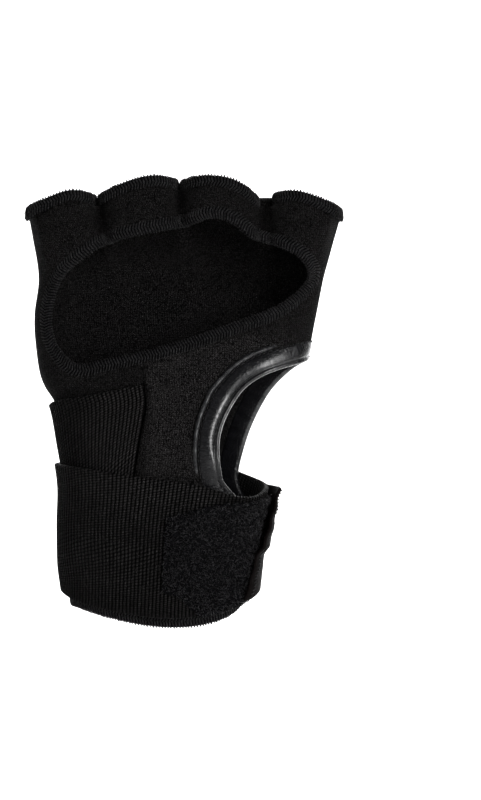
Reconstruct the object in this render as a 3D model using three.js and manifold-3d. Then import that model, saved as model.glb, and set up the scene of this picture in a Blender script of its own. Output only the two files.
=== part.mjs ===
// A right-hand boxing inner glove: stretch cloth with four short finger loops, a wide palm
// cut-out, a leather-faced thumb hole and a long elastic wrist strap.
// Millimetres. +Z runs from the cuff to the finger loops, the palm side faces -Y and the thumb
// hole is on the +X side.
// The origin is the middle of the wrist opening.
//
// Everything lies on one sheet, the outside of the glove's cloth. A place on it is an angle round
// the glove and a height: 0 degrees is the thumb side, 90 the palm, 180 the little-finger side and
// 270 the back. A lift is a distance out from that sheet, so cloth has a lift below zero.

import * as THREE from "three";
import { mergeVertices } from "three/addons/utils/BufferGeometryUtils.js";
import Module from "manifold-3d";

const wasm = await Module();
wasm.setup();

const CLOTH = 2.0; // thickness of the palm cloth
const BACK_CLOTH = 2.4; // thickness of the back cloth
const BACK_PROUD = 0.1; // the back cloth's edge stands out of the palm cloth's by this
const GAP = 0.35; // clearance between pieces that touch on the real glove
const HEM = 4.0; // width of an overlocked edge
const HEM_THICK = 2.8;
const HEM_CLEAR = 0.5; // below a slanting hem
const STRAP_THICK = 1.3;
const STRAP_LIFT = 0.9; // first turn of the strap above the cloth
const PATCH_THICK = 1.5;
const TAB_THICK = 1.2;
const SEAM_GAP = 1.2; // degrees between the two cloths' edges
const SEAM = 14; // degrees from each side, towards the back, where palm and back cloth are sewn

const DEG = Math.PI / 180;

// Reads rows of numbers as objects with named columns.
const table = (names, rows) =>
  rows.map((row) => Object.fromEntries(names.map((name, i) => [name, row[i]])));

// Outline of the cloth at each height: its two sides and its depth to the palm and to the back.
const OUTLINE = table(
  ["z", "left", "right", "palm", "back"],
  [
    [-12, -29.6, 28.8, 18.0, 18.0],
    [0, -29.7, 28.9, 18.2, 18.2],
    [14, -30.3, 30.4, 18.8, 18.0],
    [28, -30.6, 32.4, 19.6, 17.4],
    [42, -30.4, 35.8, 20.4, 17.0],
    [56, -32.2, 42.0, 20.6, 16.8],
    [69, -34.2, 47.2, 19.6, 16.6],
    [75, -37.6, 49.2, 18.9, 16.6],
    [80, -39.9, 50.6, 18.4, 16.6],
    [90, -41.3, 52.3, 17.4, 16.6],
    [100, -41.6, 54.3, 16.4, 16.8],
    [112, -40.2, 56.7, 15.6, 16.8],
    [124, -42.0, 59.7, 14.6, 15.6],
    [136, -44.4, 62.4, 13.0, 13.6],
    [148, -47.0, 65.4, 12.0, 12.4],
  ],
);

// Soft pads and hollows of the palm and the knuckles: place, height over the sheet and reach.
const PALM_PADS = table(
  ["x", "z", "height", "reach"],
  [
    [24, 46, 2.6, 20],
    [-17, 50, 1.6, 17],
    [4, 84, -2.2, 22],
    [-8, 116, 0.8, 16],
  ],
);
const KNUCKLES = table(
  ["x", "z", "height", "reach"],
  [
    [-29, 106, 1.2, 8],
    [-6, 112, 1.5, 9],
    [20, 114, 1.6, 9],
    [46, 111, 1.4, 9],
  ],
);

// The four loops: sides at the knuckle and at the top, depth, and the height of the top edge at
// its little-finger side, a third and two thirds of the way, and its thumb side.
const LOOP_BASE = 124;
const LOOP_TOP = 138;
const FINGERS = table(
  ["name", "leftBase", "leftTop", "rightBase", "rightTop", "depth", "top0", "top1", "top2", "top3"],
  [
    ["little", -42.0, -44.6, -16.7, -20.0, 11.2, 135.2, 138.7, 141.0, 139.0],
    ["ring", -16.7, -20.0, 9.2, 7.6, 12.4, 139.4, 143.6, 146.1, 145.0],
    ["middle", 9.2, 7.6, 34.6, 35.0, 12.8, 144.0, 146.1, 144.5, 138.4],
    ["index", 38.4, 39.0, 59.4, 63.2, 12.2, 140.2, 141.0, 138.5, 134.8],
  ],
);
const WEB = { base: 8.0, top: 5.0 }; // depth of the cloth at the clefts between the loops
const LOOP_START = 110; // the loops begin to show above this height
const LOOP_FULL = 128;
const CLEFT_TOP = table(
  ["x", "z"],
  [
    [-20, 134.2],
    [7.6, 139.4],
    [37, 133.4],
  ],
);

// Powers of the ovals that a section across the glove, or across one loop, is made of.
const OVAL = { flat: 2.5, round: 0.4 };
const LOOP_OVAL = { flat: 2.4, round: 0.5, taut: 0.94 };
const LOOP_SIDE = { reach: 2.2, power: 0.8 }; // how the loops close at the glove's two sides
const LOOP_SHOULDER = { beyond: 0.06, slope: 7, start: 0.4 }; // how a loop's edge meets a cleft

// The palm cut-out, round its finished edge from the thumb side, first below the finger loops.
const CUT_OUT = table(
  ["x", "z"],
  [
    [52.2, 112.4],
    [48.4, 118.4],
    [40.0, 122.8],
    [32.0, 125.8],
    [25.6, 130.4],
    [18.8, 132.0],
    [9.8, 129.4],
    [-4.6, 126.5],
    [-16.0, 123.6],
    [-25.0, 118.0],
    [-33.0, 110.4],
    [-36.2, 98.0],
    [-34.2, 89.2],
    [-27.2, 82.6],
    [-16.0, 84.2],
    [3.6, 88.8],
    [24.0, 95.5],
    [44.0, 103.7],
  ],
);

// The thumb hole, round its finished edge from the thumb side over the palm. Angles past 360
// and below 0 lie on the back.
const THUMB_HOLE = table(
  ["angle", "z"],
  [
    [0, 83.8],
    [17, 83.2],
    [29, 82.0],
    [40.5, 80.2],
    [48, 78.2],
    [55.5, 74.6],
    [61, 70.4],
    [64, 65.6],
    [65.3, 61.5],
    [65, 57],
    [63, 52],
    [60, 48.2],
    [55, 44.2],
    [48, 41],
    [36, 37.4],
    [14, 34.6],
    [-10, 34.6],
    [-30, 37.4],
    [-42, 43.6],
    [-46, 52.0],
    [-46, 62.0],
    [-41, 72.0],
    [-27, 80.4],
  ],
);
const FACING = 6.9; // width of the leather facing round the thumb hole
const FACING_LIFT = [-CLOTH, 0.9];
const PALM_HEM_LIFT = [-2.3, 0.5];
const PIPING = { across: 7.75, radius: 0.55, lift: 1.05 };

// The strap: angle along its run from the palm seam, its upper and lower edge.
const UNDER = STRAP_LIFT;
const OVER = STRAP_LIFT + STRAP_THICK + GAP;
const TAB_LIFT = OVER + PATCH_THICK + 0.5;
const STRAP = table(
  ["turn", "top", "bottom"],
  [
    [103, 75.2, 33],
    [130, 72.2, 24],
    [180, 69.6, 14],
    [225, 64, 9],
    [270, 55, 6],
    [315, 46, 5],
    [360, 40.8, 5.0],
    [385, 38.6, 1.4],
    [405, 39.0, -0.8],
    [430, 42.4, -2.2],
    [452, 44.2, -2.0],
    [475, 45.8, -0.2],
    [500, 48, 2.2],
    [540, 49.8, 6.0],
    [585, 48.6, 5.4],
    [645, 45.4, 5.0],
  ],
);
const STRAP_SKEW = 9; // degrees that the strap's first end slants back towards its lower edge

// The loop-pile patch on the strap: angle, upper and lower edge.
const PATCH = table(
  ["turn", "top", "bottom"],
  [
    [-12, 38.8, 7.0],
    [8, 38.4, 5.0],
    [30, 37.0, 1.4],
    [50, 36.6, -1.2],
    [62, 35.6, -1.4],
    [72, 34.0, 4.0],
    [86, 31.8, 6.6],
  ],
);

// The hook tab at the strap's end: height, the angle of its free edge and its lift there.
const TAB_START = -88;
const TAB = table(
  ["z", "edge", "bulge"],
  [
    [3.4, 28, 0],
    [10, 24, 0],
    [19, 19, 0],
    [22, 17, 1.3],
    [30, 13, 1.6],
    [40.6, 2, 1.0],
  ],
);
const TAB_CORNER = { rise: 3.2, to: 26 }; // its lower edge rises towards the side, from this angle

const lerp = (a, b, t) => a + (b - a) * t;
const smooth = (t) => {
  const s = Math.min(1, Math.max(0, t));
  return s * s * (3 - 2 * s);
};

// One column of a table at a given place, on a smooth curve through its rows.
function along(rows, key, column, at) {
  const last = rows.length - 1;
  let i = 0;
  while (i < last - 1 && at > rows[i + 1][key]) i++;
  const [a, b] = [rows[i], rows[i + 1]];
  const span = b[key] - a[key];
  const slope = (j) => {
    const [p, q] = [rows[Math.max(0, j - 1)], rows[Math.min(last, j + 1)]];
    return (q[column] - p[column]) / (q[key] - p[key]);
  };
  const t = Math.min(1, Math.max(0, (at - a[key]) / span));
  const [t2, t3] = [t * t, t * t * t];
  return (
    (2 * t3 - 3 * t2 + 1) * a[column] +
    (t3 - 2 * t2 + t) * span * slope(i) +
    (3 * t2 - 2 * t3) * b[column] +
    (t3 - t2) * span * slope(i + 1)
  );
}

const bump = (pads, x, z) =>
  pads.reduce(
    (sum, p) => sum + p.height * Math.exp(-((x - p.x) ** 2 + (z - p.z) ** 2) / p.reach ** 2),
    0,
  );

// The sides of one loop at a height: each loop leans its own way.
function loopSides(finger, z) {
  const t = (z - LOOP_BASE) / (LOOP_TOP - LOOP_BASE);
  return [
    lerp(finger.leftBase, finger.leftTop, t),
    lerp(finger.rightBase, finger.rightTop, t),
  ];
}

// Depth of the four loops and the cloth in their clefts, at a place across the glove.
function loopDepth(x, z) {
  const t = smooth((z - LOOP_BASE) / (LOOP_TOP - LOOP_BASE));
  let depth = lerp(WEB.base, WEB.top, t);
  for (const finger of FINGERS) {
    const [left, right] = loopSides(finger, z);
    const v = Math.abs((2 * x - left - right) / (right - left));
    const oval = (1 - Math.min(v, 1) ** LOOP_OVAL.flat) ** LOOP_OVAL.round;
    depth = Math.hypot(depth, finger.depth * oval);
  }
  return depth * LOOP_OVAL.taut;
}

// A point on the outside of the cloth.
function sheetPoint(angle, z) {
  const [c, s] = [Math.cos(angle * DEG), Math.sin(angle * DEG)];
  const [left, right] = [along(OUTLINE, "z", "left", z), along(OUTLINE, "z", "right", z)];
  const x = lerp(left, right, (c + 1) / 2);
  const palmSide = s >= 0;
  const round = (1 - Math.abs(c) ** OVAL.flat) ** OVAL.round;
  const pads = palmSide ? bump(PALM_PADS, x, z) : bump(KNUCKLES, x, z);
  const body = (along(OUTLINE, "z", palmSide ? "palm" : "back", z) + pads) * round;
  const loops = loopDepth(x, z) * Math.min(1, round * LOOP_SIDE.reach) ** LOOP_SIDE.power;
  const depth = lerp(body, loops, smooth((z - LOOP_START) / (LOOP_FULL - LOOP_START)));
  return new THREE.Vector3(x, palmSide ? -depth : depth, z);
}

// The direction out of the cloth.
function sheetNormal(angle, z) {
  const round = sheetPoint(angle + 1, z).sub(sheetPoint(angle - 1, z));
  const up = sheetPoint(angle, z + 0.5).sub(sheetPoint(angle, z - 0.5));
  return up.cross(round).normalize();
}

const lifted = (angle, z, lift) =>
  sheetPoint(angle, z).addScaledVector(sheetNormal(angle, z), lift);

// The angle of a place on the palm side, from its place across the glove.
function palmAngle(x, z) {
  const [left, right] = [along(OUTLINE, "z", "left", z), along(OUTLINE, "z", "right", z)];
  const c = (2 * x - left - right) / (right - left);
  return Math.acos(Math.min(1, Math.max(-1, c))) / DEG;
}

// A closed mesh from rows of points, each row a closed ring. The last row meets the first when
// the rows themselves run round, and otherwise each end is closed with a fan.
function rings(rows, runsRound) {
  const [count, sides] = [rows.length, rows[0].length];
  const points = rows.flat();
  const faces = [];
  const at = (i, j) => (i % count) * sides + (j % sides);
  for (let i = 0; i < (runsRound ? count : count - 1); i++)
    for (let j = 0; j < sides; j++)
      faces.push(at(i, j), at(i + 1, j), at(i + 1, j + 1), at(i, j), at(i + 1, j + 1), at(i, j + 1));
  if (!runsRound) {
    for (const [row, turned] of [[0, false], [count - 1, true]]) {
      const middle = points.length;
      const centre = new THREE.Vector3();
      rows[row].forEach((p) => centre.addScaledVector(p, 1 / sides));
      points.push(centre);
      for (let j = 0; j < sides; j++) {
        const [a, b] = [at(row, j), at(row, j + 1)];
        faces.push(middle, ...(turned ? [b, a] : [a, b]));
      }
    }
  }
  return closedMesh(points, faces);
}

// A wall between two sheets of points, each a grid of rows, closed round its four edges.
function wall(outer, inner) {
  const [nu, nv] = [outer.length, outer[0].length];
  const points = [...outer.flat(), ...inner.flat()];
  const out = (i, j) => i * nv + j;
  const back = (i, j) => nu * nv + i * nv + j;
  const faces = [];
  const quad = (a, b, c, d) => faces.push(a, b, c, a, c, d);
  for (let i = 0; i < nu - 1; i++)
    for (let j = 0; j < nv - 1; j++) {
      quad(out(i, j), out(i, j + 1), out(i + 1, j + 1), out(i + 1, j));
      quad(back(i, j), back(i + 1, j), back(i + 1, j + 1), back(i, j + 1));
    }
  for (let i = 0; i < nu - 1; i++) {
    quad(out(i, 0), out(i + 1, 0), back(i + 1, 0), back(i, 0));
    quad(out(i, nv - 1), back(i, nv - 1), back(i + 1, nv - 1), out(i + 1, nv - 1));
  }
  for (let j = 0; j < nv - 1; j++) {
    quad(out(0, j), back(0, j), back(0, j + 1), out(0, j + 1));
    quad(out(nu - 1, j), out(nu - 1, j + 1), back(nu - 1, j + 1), back(nu - 1, j));
  }
  return closedMesh(points, faces);
}

// A geometry with its faces turned outwards, whichever way the grid ran.
function closedMesh(points, faces) {
  const volume = faces.reduce((sum, _, i) => {
    if (i % 3) return sum;
    const [a, b, c] = [points[faces[i]], points[faces[i + 1]], points[faces[i + 2]]];
    return sum + a.dot(new THREE.Vector3().crossVectors(b, c));
  }, 0);
  if (volume < 0)
    for (let i = 0; i < faces.length; i += 3)
      [faces[i + 1], faces[i + 2]] = [faces[i + 2], faces[i + 1]];
  const geometry = new THREE.BufferGeometry().setFromPoints(points);
  geometry.setIndex(faces);
  return geometry;
}

// A grid of lifted points over (u, v), where place gives angle, height and lift.
const sheet = (nu, nv, place) =>
  Array.from({ length: nu + 1 }, (_, i) =>
    Array.from({ length: nv + 1 }, (_, j) => lifted(...place(i / nu, j / nv))),
  );

const wallOver = (nu, nv, place, thick) =>
  wall(
    sheet(nu, nv, (u, v) => place(u, v)),
    sheet(nu, nv, (u, v) => {
      const [angle, z, lift] = place(u, v);
      return [angle, z, lift - thick];
    }),
  );

function solid(geometry) {
  const merged = mergeVertices(geometry, 1e-4);
  return new wasm.Manifold(
    new wasm.Mesh({
      numProp: 3,
      vertProperties: merged.attributes.position.array,
      triVerts: new Uint32Array(merged.index.array),
    }),
  );
}

function geometryOf(body) {
  const mesh = body.getMesh();
  const points = [];
  for (let i = 0; i < mesh.numVert; i++)
    points.push(new THREE.Vector3(...mesh.vertProperties.subarray(3 * i, 3 * i + 3)));
  return new THREE.BufferGeometry().setFromPoints(points).setIndex([...mesh.triVerts]);
}

// Height of a loop's top edge, from its place across the loop.
function loopTop(finger, share) {
  const rows = [0, 1, 2, 3].map((i) => ({ at: i / 3, top: finger[`top${i}`] }));
  return along(rows, "at", "top", Math.min(1, Math.max(0, share)));
}

// Height where the cloth ends below the loops' hems, at an angle. In a cleft it dips.
function clothTop(angle) {
  const x = sheetPoint(angle, LOOP_TOP).x;
  const cleft = along(CLEFT_TOP, "x", "z", x);
  let height = cleft;
  for (const finger of FINGERS) {
    const [left, right] = loopSides(finger, LOOP_TOP);
    const share = (x - left) / (right - left);
    const within = Math.min(share, 1 - share);
    if (within < -LOOP_SHOULDER.beyond) continue;
    const inside = smooth(within * LOOP_SHOULDER.slope + LOOP_SHOULDER.start);
    height = lerp(cleft, loopTop(finger, share) - HEM - HEM_CLEAR, inside);
  }
  return Math.min(height, along(SIDE_TOP, "x", "z", x));
}

// At the two outer sides the cloth ends under the ends of the slanting hems.
const SIDE_TOP = table(
  ["x", "z"],
  [
    [-48, 130.2],
    [-43, 130.8],
    [-36, 134.4],
    [-30, 150],
    [50, 150],
    [56, 134.2],
    [62, 130.4],
    [68, 129.4],
  ],
);

// The cuff's lower edge, at an angle: it hangs lower on the palm side.
const CUFF = { side: 1.3, palmDrop: 6.3, slant: 3.0, backRise: 1.4 };
function cuffEdge(angle) {
  const [c, s] = [Math.cos(angle * DEG), Math.sin(angle * DEG)];
  if (s < 0) return CUFF.side - CUFF.backRise * s;
  return CUFF.side - CUFF.palmDrop * s ** 1.8 - CUFF.slant * c * s;
}

// Heights of the rows of a cloth grid, as shares of its height: closer where it bends.
const CLOTH_ROWS = [0, 0.13, 0.27, 0.38, 0.45, 0.5, 0.55, 0.61, 0.69, 0.78, 0.86, 0.93, 1];
const CLOTH_COLUMNS = { palm: 46, back: 32 };
const STATIONS = { thumb: 48, cutOut: 54, piping: 56, loop: 20, cuff: 36 };
const rowHeight = (low, high, v) =>
  lerp(low, high, CLOTH_ROWS[Math.round(v * (CLOTH_ROWS.length - 1))]);

const clothPlace = (from, to, lift) => (u, v) => {
  const angle = lerp(from, to, u);
  return [angle, rowHeight(cuffEdge(angle) + HEM + GAP, clothTop(angle), v), lift];
};

// The cut-out's edge as a closed run of stations on the cloth: place, direction out of the cloth
// and direction away from the hole.
function cutOutStations(count) {
  const run = new THREE.CatmullRomCurve3(
    CUT_OUT.map((p) => new THREE.Vector3(p.x, 0, p.z)),
    true,
    "centripetal",
  );
  const edge = run.getSpacedPoints(count).slice(0, count);
  const places = edge.map((p) => [palmAngle(p.x, p.z), p.z]);
  return stations(places);
}

// The thumb hole's edge as a closed run of stations.
function thumbStations(count) {
  const run = new THREE.CatmullRomCurve3(
    THUMB_HOLE.map((p) => new THREE.Vector3(p.angle, 0, p.z)),
    true,
    "centripetal",
  );
  return stations(run.getSpacedPoints(count).slice(0, count).map((p) => [p.x, p.z]));
}

// Each station knows how its angle and height change for a millimetre away from the hole.
function stations(places) {
  const points = places.map(([angle, z]) => sheetPoint(angle, z));
  const middle = new THREE.Vector3();
  points.forEach((p) => middle.addScaledVector(p, 1 / points.length));
  return points.map((point, i) => {
    const next = points[(i + 1) % points.length];
    const last = points[(i + points.length - 1) % points.length];
    const [angle, z] = places[i];
    const away = next.clone().sub(last).cross(sheetNormal(angle, z)).normalize();
    if (away.dot(point.clone().sub(middle)) < 0) away.negate();
    const round = sheetPoint(angle + 1, z).sub(sheetPoint(angle - 1, z)).divideScalar(2);
    const up = sheetPoint(angle, z + 0.5).sub(sheetPoint(angle, z - 0.5));
    const [rr, ru, uu] = [round.dot(round), round.dot(up), up.dot(up)];
    const [ar, au] = [away.dot(round), away.dot(up)];
    const scale = 1 / (rr * uu - ru * ru);
    return { angle, z, turn: (ar * uu - au * ru) * scale, rise: (au * rr - ar * ru) * scale };
  });
}

// A point beside a station, on the sheet and then lifted off it.
const place = (station, across, lift) =>
  lifted(station.angle + station.turn * across, station.z + station.rise * across, lift);

// A band along an edge, from the edge outwards, with rounded corners.
const BAND_CORNER = 0.8;
function band(run, width, low, high) {
  const corner = BAND_CORNER;
  return rings(
    run.map((s) => {
      const top = high * (s.press ?? 1);
      return [
        [corner, low],
        [width, low],
        [width, top - corner],
        [width - corner, top],
        [corner, top],
        [0, top - corner],
        [0, low + corner],
      ].map(([across, lift]) => place(s, across, lift));
    }),
    true,
  );
}

// A plug that fills a hole grown by an amount, to cut it out of the cloth. It is made of rings at
// these shares of the way from its middle to the edge, and of the growth past it.
const PLUG_RINGS = [0.02, 0.3, 0.55, 0.75, 0.9];
const PLUG_RIM = [0, 0.5, 1];
const PLUG_REACH = 1.2; // past both faces of the cloth
function plug(run, grown) {
  const mean = (key) => run.reduce((sum, s) => sum + s[key] / run.length, 0);
  const [angle, z] = [mean("angle"), mean("z")];
  const sheets = [PLUG_REACH, -CLOTH - PLUG_REACH].map((lift) => {
    const inner = PLUG_RINGS.map((share) =>
      run.map((s) => lifted(lerp(angle, s.angle, share), lerp(z, s.z, share), lift)),
    );
    return [...inner, ...PLUG_RIM.map((part) => run.map((s) => place(s, grown * part, lift)))];
  });
  return rings([...sheets[0], ...sheets[1].reverse()], false);
}

// Inside its finished edge the cut-out runs straight through the palm cloth.
const PRISM_DEPTH = 40;
function cutOutPrism(run) {
  const rim = run.map((s) => sheetPoint(s.angle, s.z));
  const shape = new THREE.Shape(rim.map((p) => new THREE.Vector2(p.x, p.z)));
  const prism = new THREE.ExtrudeGeometry(shape, { depth: PRISM_DEPTH, bevelEnabled: false });
  prism.deleteAttribute("normal");
  prism.deleteAttribute("uv");
  return prism.rotateX(Math.PI / 2); // the outline's height becomes +Z, the prism runs along -Y
}

const MATERIALS = {
  cloth: { color: 0x151516, roughness: 0.9, metalness: 0 },
  thread: { color: 0x1a1a1b, roughness: 0.85, metalness: 0 },
  elastic: { color: 0x1c1b1b, roughness: 0.85, metalness: 0 },
  pile: { color: 0x101012, roughness: 0.95, metalness: 0 },
  leather: { color: 0x131316, roughness: 0.35, metalness: 0 },
  piping: { color: 0x26262a, roughness: 0.35, metalness: 0 },
  tape: { color: 0x211d1d, roughness: 0.8, metalness: 0 },
};

const glove = new THREE.Group();
function add(name, finish, geometry) {
  const mesh = new THREE.Mesh(geometry, new THREE.MeshStandardMaterial(MATERIALS[finish]));
  mesh.name = name;
  glove.add(mesh);
}

// All that a hole and the band round its edge take out of the cloth.
function cut(run, width, low, high) {
  const hole = solid(plug(run, width + GAP));
  return hole.add(solid(band(run, width + GAP, low - GAP, high + GAP)));
}

function addCloth() {
  const thumb = cut(thumbStations(STATIONS.thumb), FACING, ...FACING_LIFT);
  const run = cutOutStations(STATIONS.cutOut);
  const cutOut = cut(run, HEM, ...PALM_HEM_LIFT).add(solid(cutOutPrism(run)));
  const rows = CLOTH_ROWS.length - 1;
  const palm = wallOver(CLOTH_COLUMNS.palm, rows, clothPlace(-SEAM, 180 + SEAM, 0), CLOTH);
  add("palm_panel", "cloth", geometryOf(solid(palm).subtract(cutOut).subtract(thumb)));
  const backPlace = clothPlace(180 + SEAM + SEAM_GAP, 360 - SEAM - SEAM_GAP, BACK_PROUD);
  const back = wallOver(CLOTH_COLUMNS.back, rows, backPlace, BACK_CLOTH);
  add("back_panel", "cloth", geometryOf(solid(back).subtract(thumb)));
}

// A hem round one loop: an upright band that follows the loop's oval and its slanting top.
const HEM_OVAL = 0.85; // power of the oval
const HEM_TOP = { flat: 0.6, slope: 0.9 }; // half of its flat upper edge, and the slope beside it
function addLoopHem(finger) {
  const count = STATIONS.loop;
  const half = HEM_THICK / 2;
  const rows = Array.from({ length: count }, (_, i) => {
    const turn = (2 * Math.PI * i) / count;
    const [c, s] = [Math.cos(turn), Math.sin(turn)];
    const [left, right] = loopSides(finger, LOOP_TOP + 1);
    const ring = (inset, down) => {
      const wide = (right - left) / 2 - GAP / 2 - inset;
      const deep = finger.depth - inset;
      const x = (left + right) / 2 + wide * Math.sign(c) * Math.abs(c) ** HEM_OVAL;
      const share = (x - left) / (right - left);
      const y = -deep * Math.sign(s) * Math.abs(s) ** HEM_OVAL;
      return new THREE.Vector3(x, y, loopTop(finger, share) - down);
    };
    return [
      ring(0, HEM_TOP.slope),
      ring(0, HEM),
      ring(HEM_THICK, HEM),
      ring(HEM_THICK, HEM_TOP.slope),
      ring(half + HEM_TOP.flat, 0),
      ring(half - HEM_TOP.flat, 0),
    ];
  });
  add(`loop_hem_${finger.name}`, "thread", rings(rows, true));
}

// A gusset closes the gap between palm and back cloth in the cleft between two loops. It is a
// folded strip that stands in the cleft like a saddle.
const GUSSETS = table(
  ["between", "top", "palmEnd", "width", "grown"],
  [
    [1, 132.4, 124.2, 1.6, 0.6],
    [2, 138.4, 130.0, 1.6, 1.3],
    [3, 138.8, 125.4, 3.4, -0.1],
  ],
);
const GUSSET = { thick: 1.2, backEnd: 121, widest: 131, saddle: 1.8, leg: 1.9 };
const GUSSET_LEG = [0, 0.33, 0.67, 1]; // shares of the way up a leg
const GUSSET_SADDLE = [30, 65, 90, 115, 150]; // degrees round the saddle over the cleft
function addGusset({ between, top, palmEnd, width, grown }) {
  const [left, right] = [FINGERS[between - 1], FINGERS[between]];
  const middle = (z) => (loopSides(left, z)[1] + loopSides(right, z)[0]) / 2;
  const reach = (z, side) => {
    const height = Math.min(z, GUSSET.widest);
    const cloth = side < 0 ? HEM_THICK : BACK_CLOTH - BACK_PROUD;
    const angle = palmAngle(middle(height), height);
    return Math.abs(sheetPoint(-side * angle, height).y) - cloth - 2 * GAP + grown;
  };
  const arch = (inset) => {
    const leg = (side) =>
      GUSSET_LEG.map((share) => {
        const z = lerp(side < 0 ? palmEnd : GUSSET.backEnd, top - GUSSET.leg, share);
        return [side * (reach(z, side) - inset), z];
      });
    const over = GUSSET_SADDLE.map((t) => {
      const side = t < 90 ? -1 : 1;
      const half = reach(top, side) - inset;
      return [-Math.cos(t * DEG) * half, top - inset - GUSSET.saddle * (1 - Math.sin(t * DEG))];
    });
    return [...leg(-1), ...over, ...leg(1).reverse()];
  };
  const wallAt = (profile) =>
    profile.map(([y, z]) =>
      [-width / 2, width / 2].map((dx) => new THREE.Vector3(middle(z) + dx, y, z)),
    );
  add(`web_gusset_${between}`, "cloth", wall(wallAt(arch(0)), wallAt(arch(GUSSET.thick))));
}

// Its section runs from the cloth's outside round the lower edge: lift and height over the edge.
const CUFF_SECTION = [
  [0, 0.8],
  [0, HEM],
  [-BACK_CLOTH, HEM],
  [-BACK_CLOTH, 0.8],
  [-1.7, 0],
  [-0.7, 0],
];
function addCuffHem() {
  const count = STATIONS.cuff;
  const run = Array.from({ length: count }, (_, i) => {
    const angle = (360 * i) / count;
    return { angle, edge: cuffEdge(angle) };
  });
  const rows = run.map(({ angle, edge }) =>
    CUFF_SECTION.map(([lift, up]) => lifted(angle, edge + up, lift)),
  );
  add("cuff_hem", "thread", rings(rows, true));
}

// Height of a place above the strap's upper edge.
const aboveStrap = (angle, z) => z - along(STRAP, "turn", "top", 360 + angle);

// Under the strap the facing is pressed flat, level with the cloth, and the piping stops there.
const PRESSED = { share: 0.2, from: 1, over: 4 };
const PIPING_CLEAR = 1.5; // of the strap
const PIPING_SIDES = 5;
const PIPING_BREAK = 20; // degrees between two stations where the piping is left out
function addThumbTrim() {
  const run = thumbStations(STATIONS.thumb).map((s) => {
    const free = smooth((aboveStrap(s.angle, s.z) - PRESSED.from) / PRESSED.over);
    return { ...s, press: lerp(PRESSED.share, 1, free) };
  });
  add("thumb_facing", "leather", band(run, FACING, ...FACING_LIFT));
  const cord = thumbStations(STATIONS.piping).filter(
    (s) => aboveStrap(s.angle + s.turn * FACING, s.z + s.rise * FACING) > PIPING_CLEAR,
  );
  const jump = (s, i) => i > 0 && Math.abs(s.angle - cord[i - 1].angle) > PIPING_BREAK;
  const first = cord.findIndex(jump);
  const ordered = first > 0 ? [...cord.slice(first), ...cord.slice(0, first)] : cord;
  const rows = ordered.map((s) =>
    Array.from({ length: PIPING_SIDES }, (_, j) => {
      const turn = (2 * Math.PI * j) / PIPING_SIDES;
      const [c, h] = [Math.cos(turn) * PIPING.radius, Math.sin(turn) * PIPING.radius];
      return place(s, PIPING.across + c, PIPING.lift + h);
    }),
  );
  add("thumb_piping", "piping", rings(rows, false));
}

const strapAt = (turn, column) => along(STRAP, "turn", column, turn);

// The second turn lies over the first, and comes down to the cloth where the first ends.
const CLIMB = { from: 405, over: 50 }; // degrees along the run where it rises on to the first turn
const SETTLE = { from: 452, share: 0.15, over: 4 }; // past there it hangs down below the first turn
function strapLift(turn, z) {
  const reached = smooth((turn - CLIMB.from) / CLIMB.over);
  const covered = smooth((z - strapAt(turn - 360, "bottom") + SETTLE.over) / SETTLE.over);
  return lerp(UNDER, OVER, reached * lerp(turn > SETTLE.from ? SETTLE.share : 1, 1, covered));
}

const STRAP_GRID = [66, 6];
const SKEW_END = 6; // the slant of its first end is gone after this part of its length, a sixth
const LOW_ROWS = { square: 1.2, line: 0.4 }; // its rows lie closer towards its lower edge
function addStrap() {
  const [first, last] = [STRAP[0].turn, STRAP[STRAP.length - 1].turn];
  const strapPlace = (u, v) => {
    const turn = lerp(first, last, u) + STRAP_SKEW * (1 - v) * (1 - smooth(u * SKEW_END));
    const share = v < 0.5 ? LOW_ROWS.square * v * v + LOW_ROWS.line * v : v;
    const z = lerp(strapAt(turn, "bottom"), strapAt(turn, "top"), share);
    return [turn, z, strapLift(turn, z) + STRAP_THICK];
  };
  add("elastic_strap", "elastic", wallOver(...STRAP_GRID, strapPlace, STRAP_THICK));
}

// The patch rides on the second turn of the strap.
const PATCH_GRID = [16, 5];
function addPatch() {
  const [first, last] = [PATCH[0].turn, PATCH[PATCH.length - 1].turn];
  const patchPlace = (u, v) => {
    const angle = lerp(first, last, u);
    const [low, high] = ["bottom", "top"].map((edge) => along(PATCH, "turn", edge, angle));
    const z = lerp(low, high, v);
    return [angle, z, strapLift(360 + angle, z) + STRAP_THICK + GAP + PATCH_THICK];
  };
  add("loop_patch", "pile", wallOver(...PATCH_GRID, patchPlace, PATCH_THICK));
}

// The tab runs on from the strap's end behind the cuff and closes over the patch.
const TAB_GRID = [14, 8];
const TAB_SWELL = 40; // degrees over which its bulge grows, up to the thumb side
function addTab() {
  const [low, high] = [TAB[0].z, TAB[TAB.length - 1].z];
  const tabPlace = (u, v) => {
    const edge = along(TAB, "z", "edge", lerp(low, high, v));
    const angle = lerp(TAB_START, edge, u);
    const rise = TAB_CORNER.rise * (1 - smooth(angle / TAB_CORNER.to));
    const z = lerp(low + rise, high, v);
    const bulge = along(TAB, "z", "bulge", z) * smooth((angle + TAB_SWELL) / TAB_SWELL);
    return [angle, z, TAB_LIFT + bulge + TAB_THICK];
  };
  add("hook_tab", "tape", wallOver(...TAB_GRID, tabPlace, TAB_THICK));
}

addCloth();
FINGERS.forEach(addLoopHem);
GUSSETS.forEach(addGusset);
add("palm_hem", "thread", band(cutOutStations(STATIONS.cutOut), HEM, ...PALM_HEM_LIFT));
addThumbTrim();
addCuffHem();
addStrap();
addPatch();
addTab();

export default glove;
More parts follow.
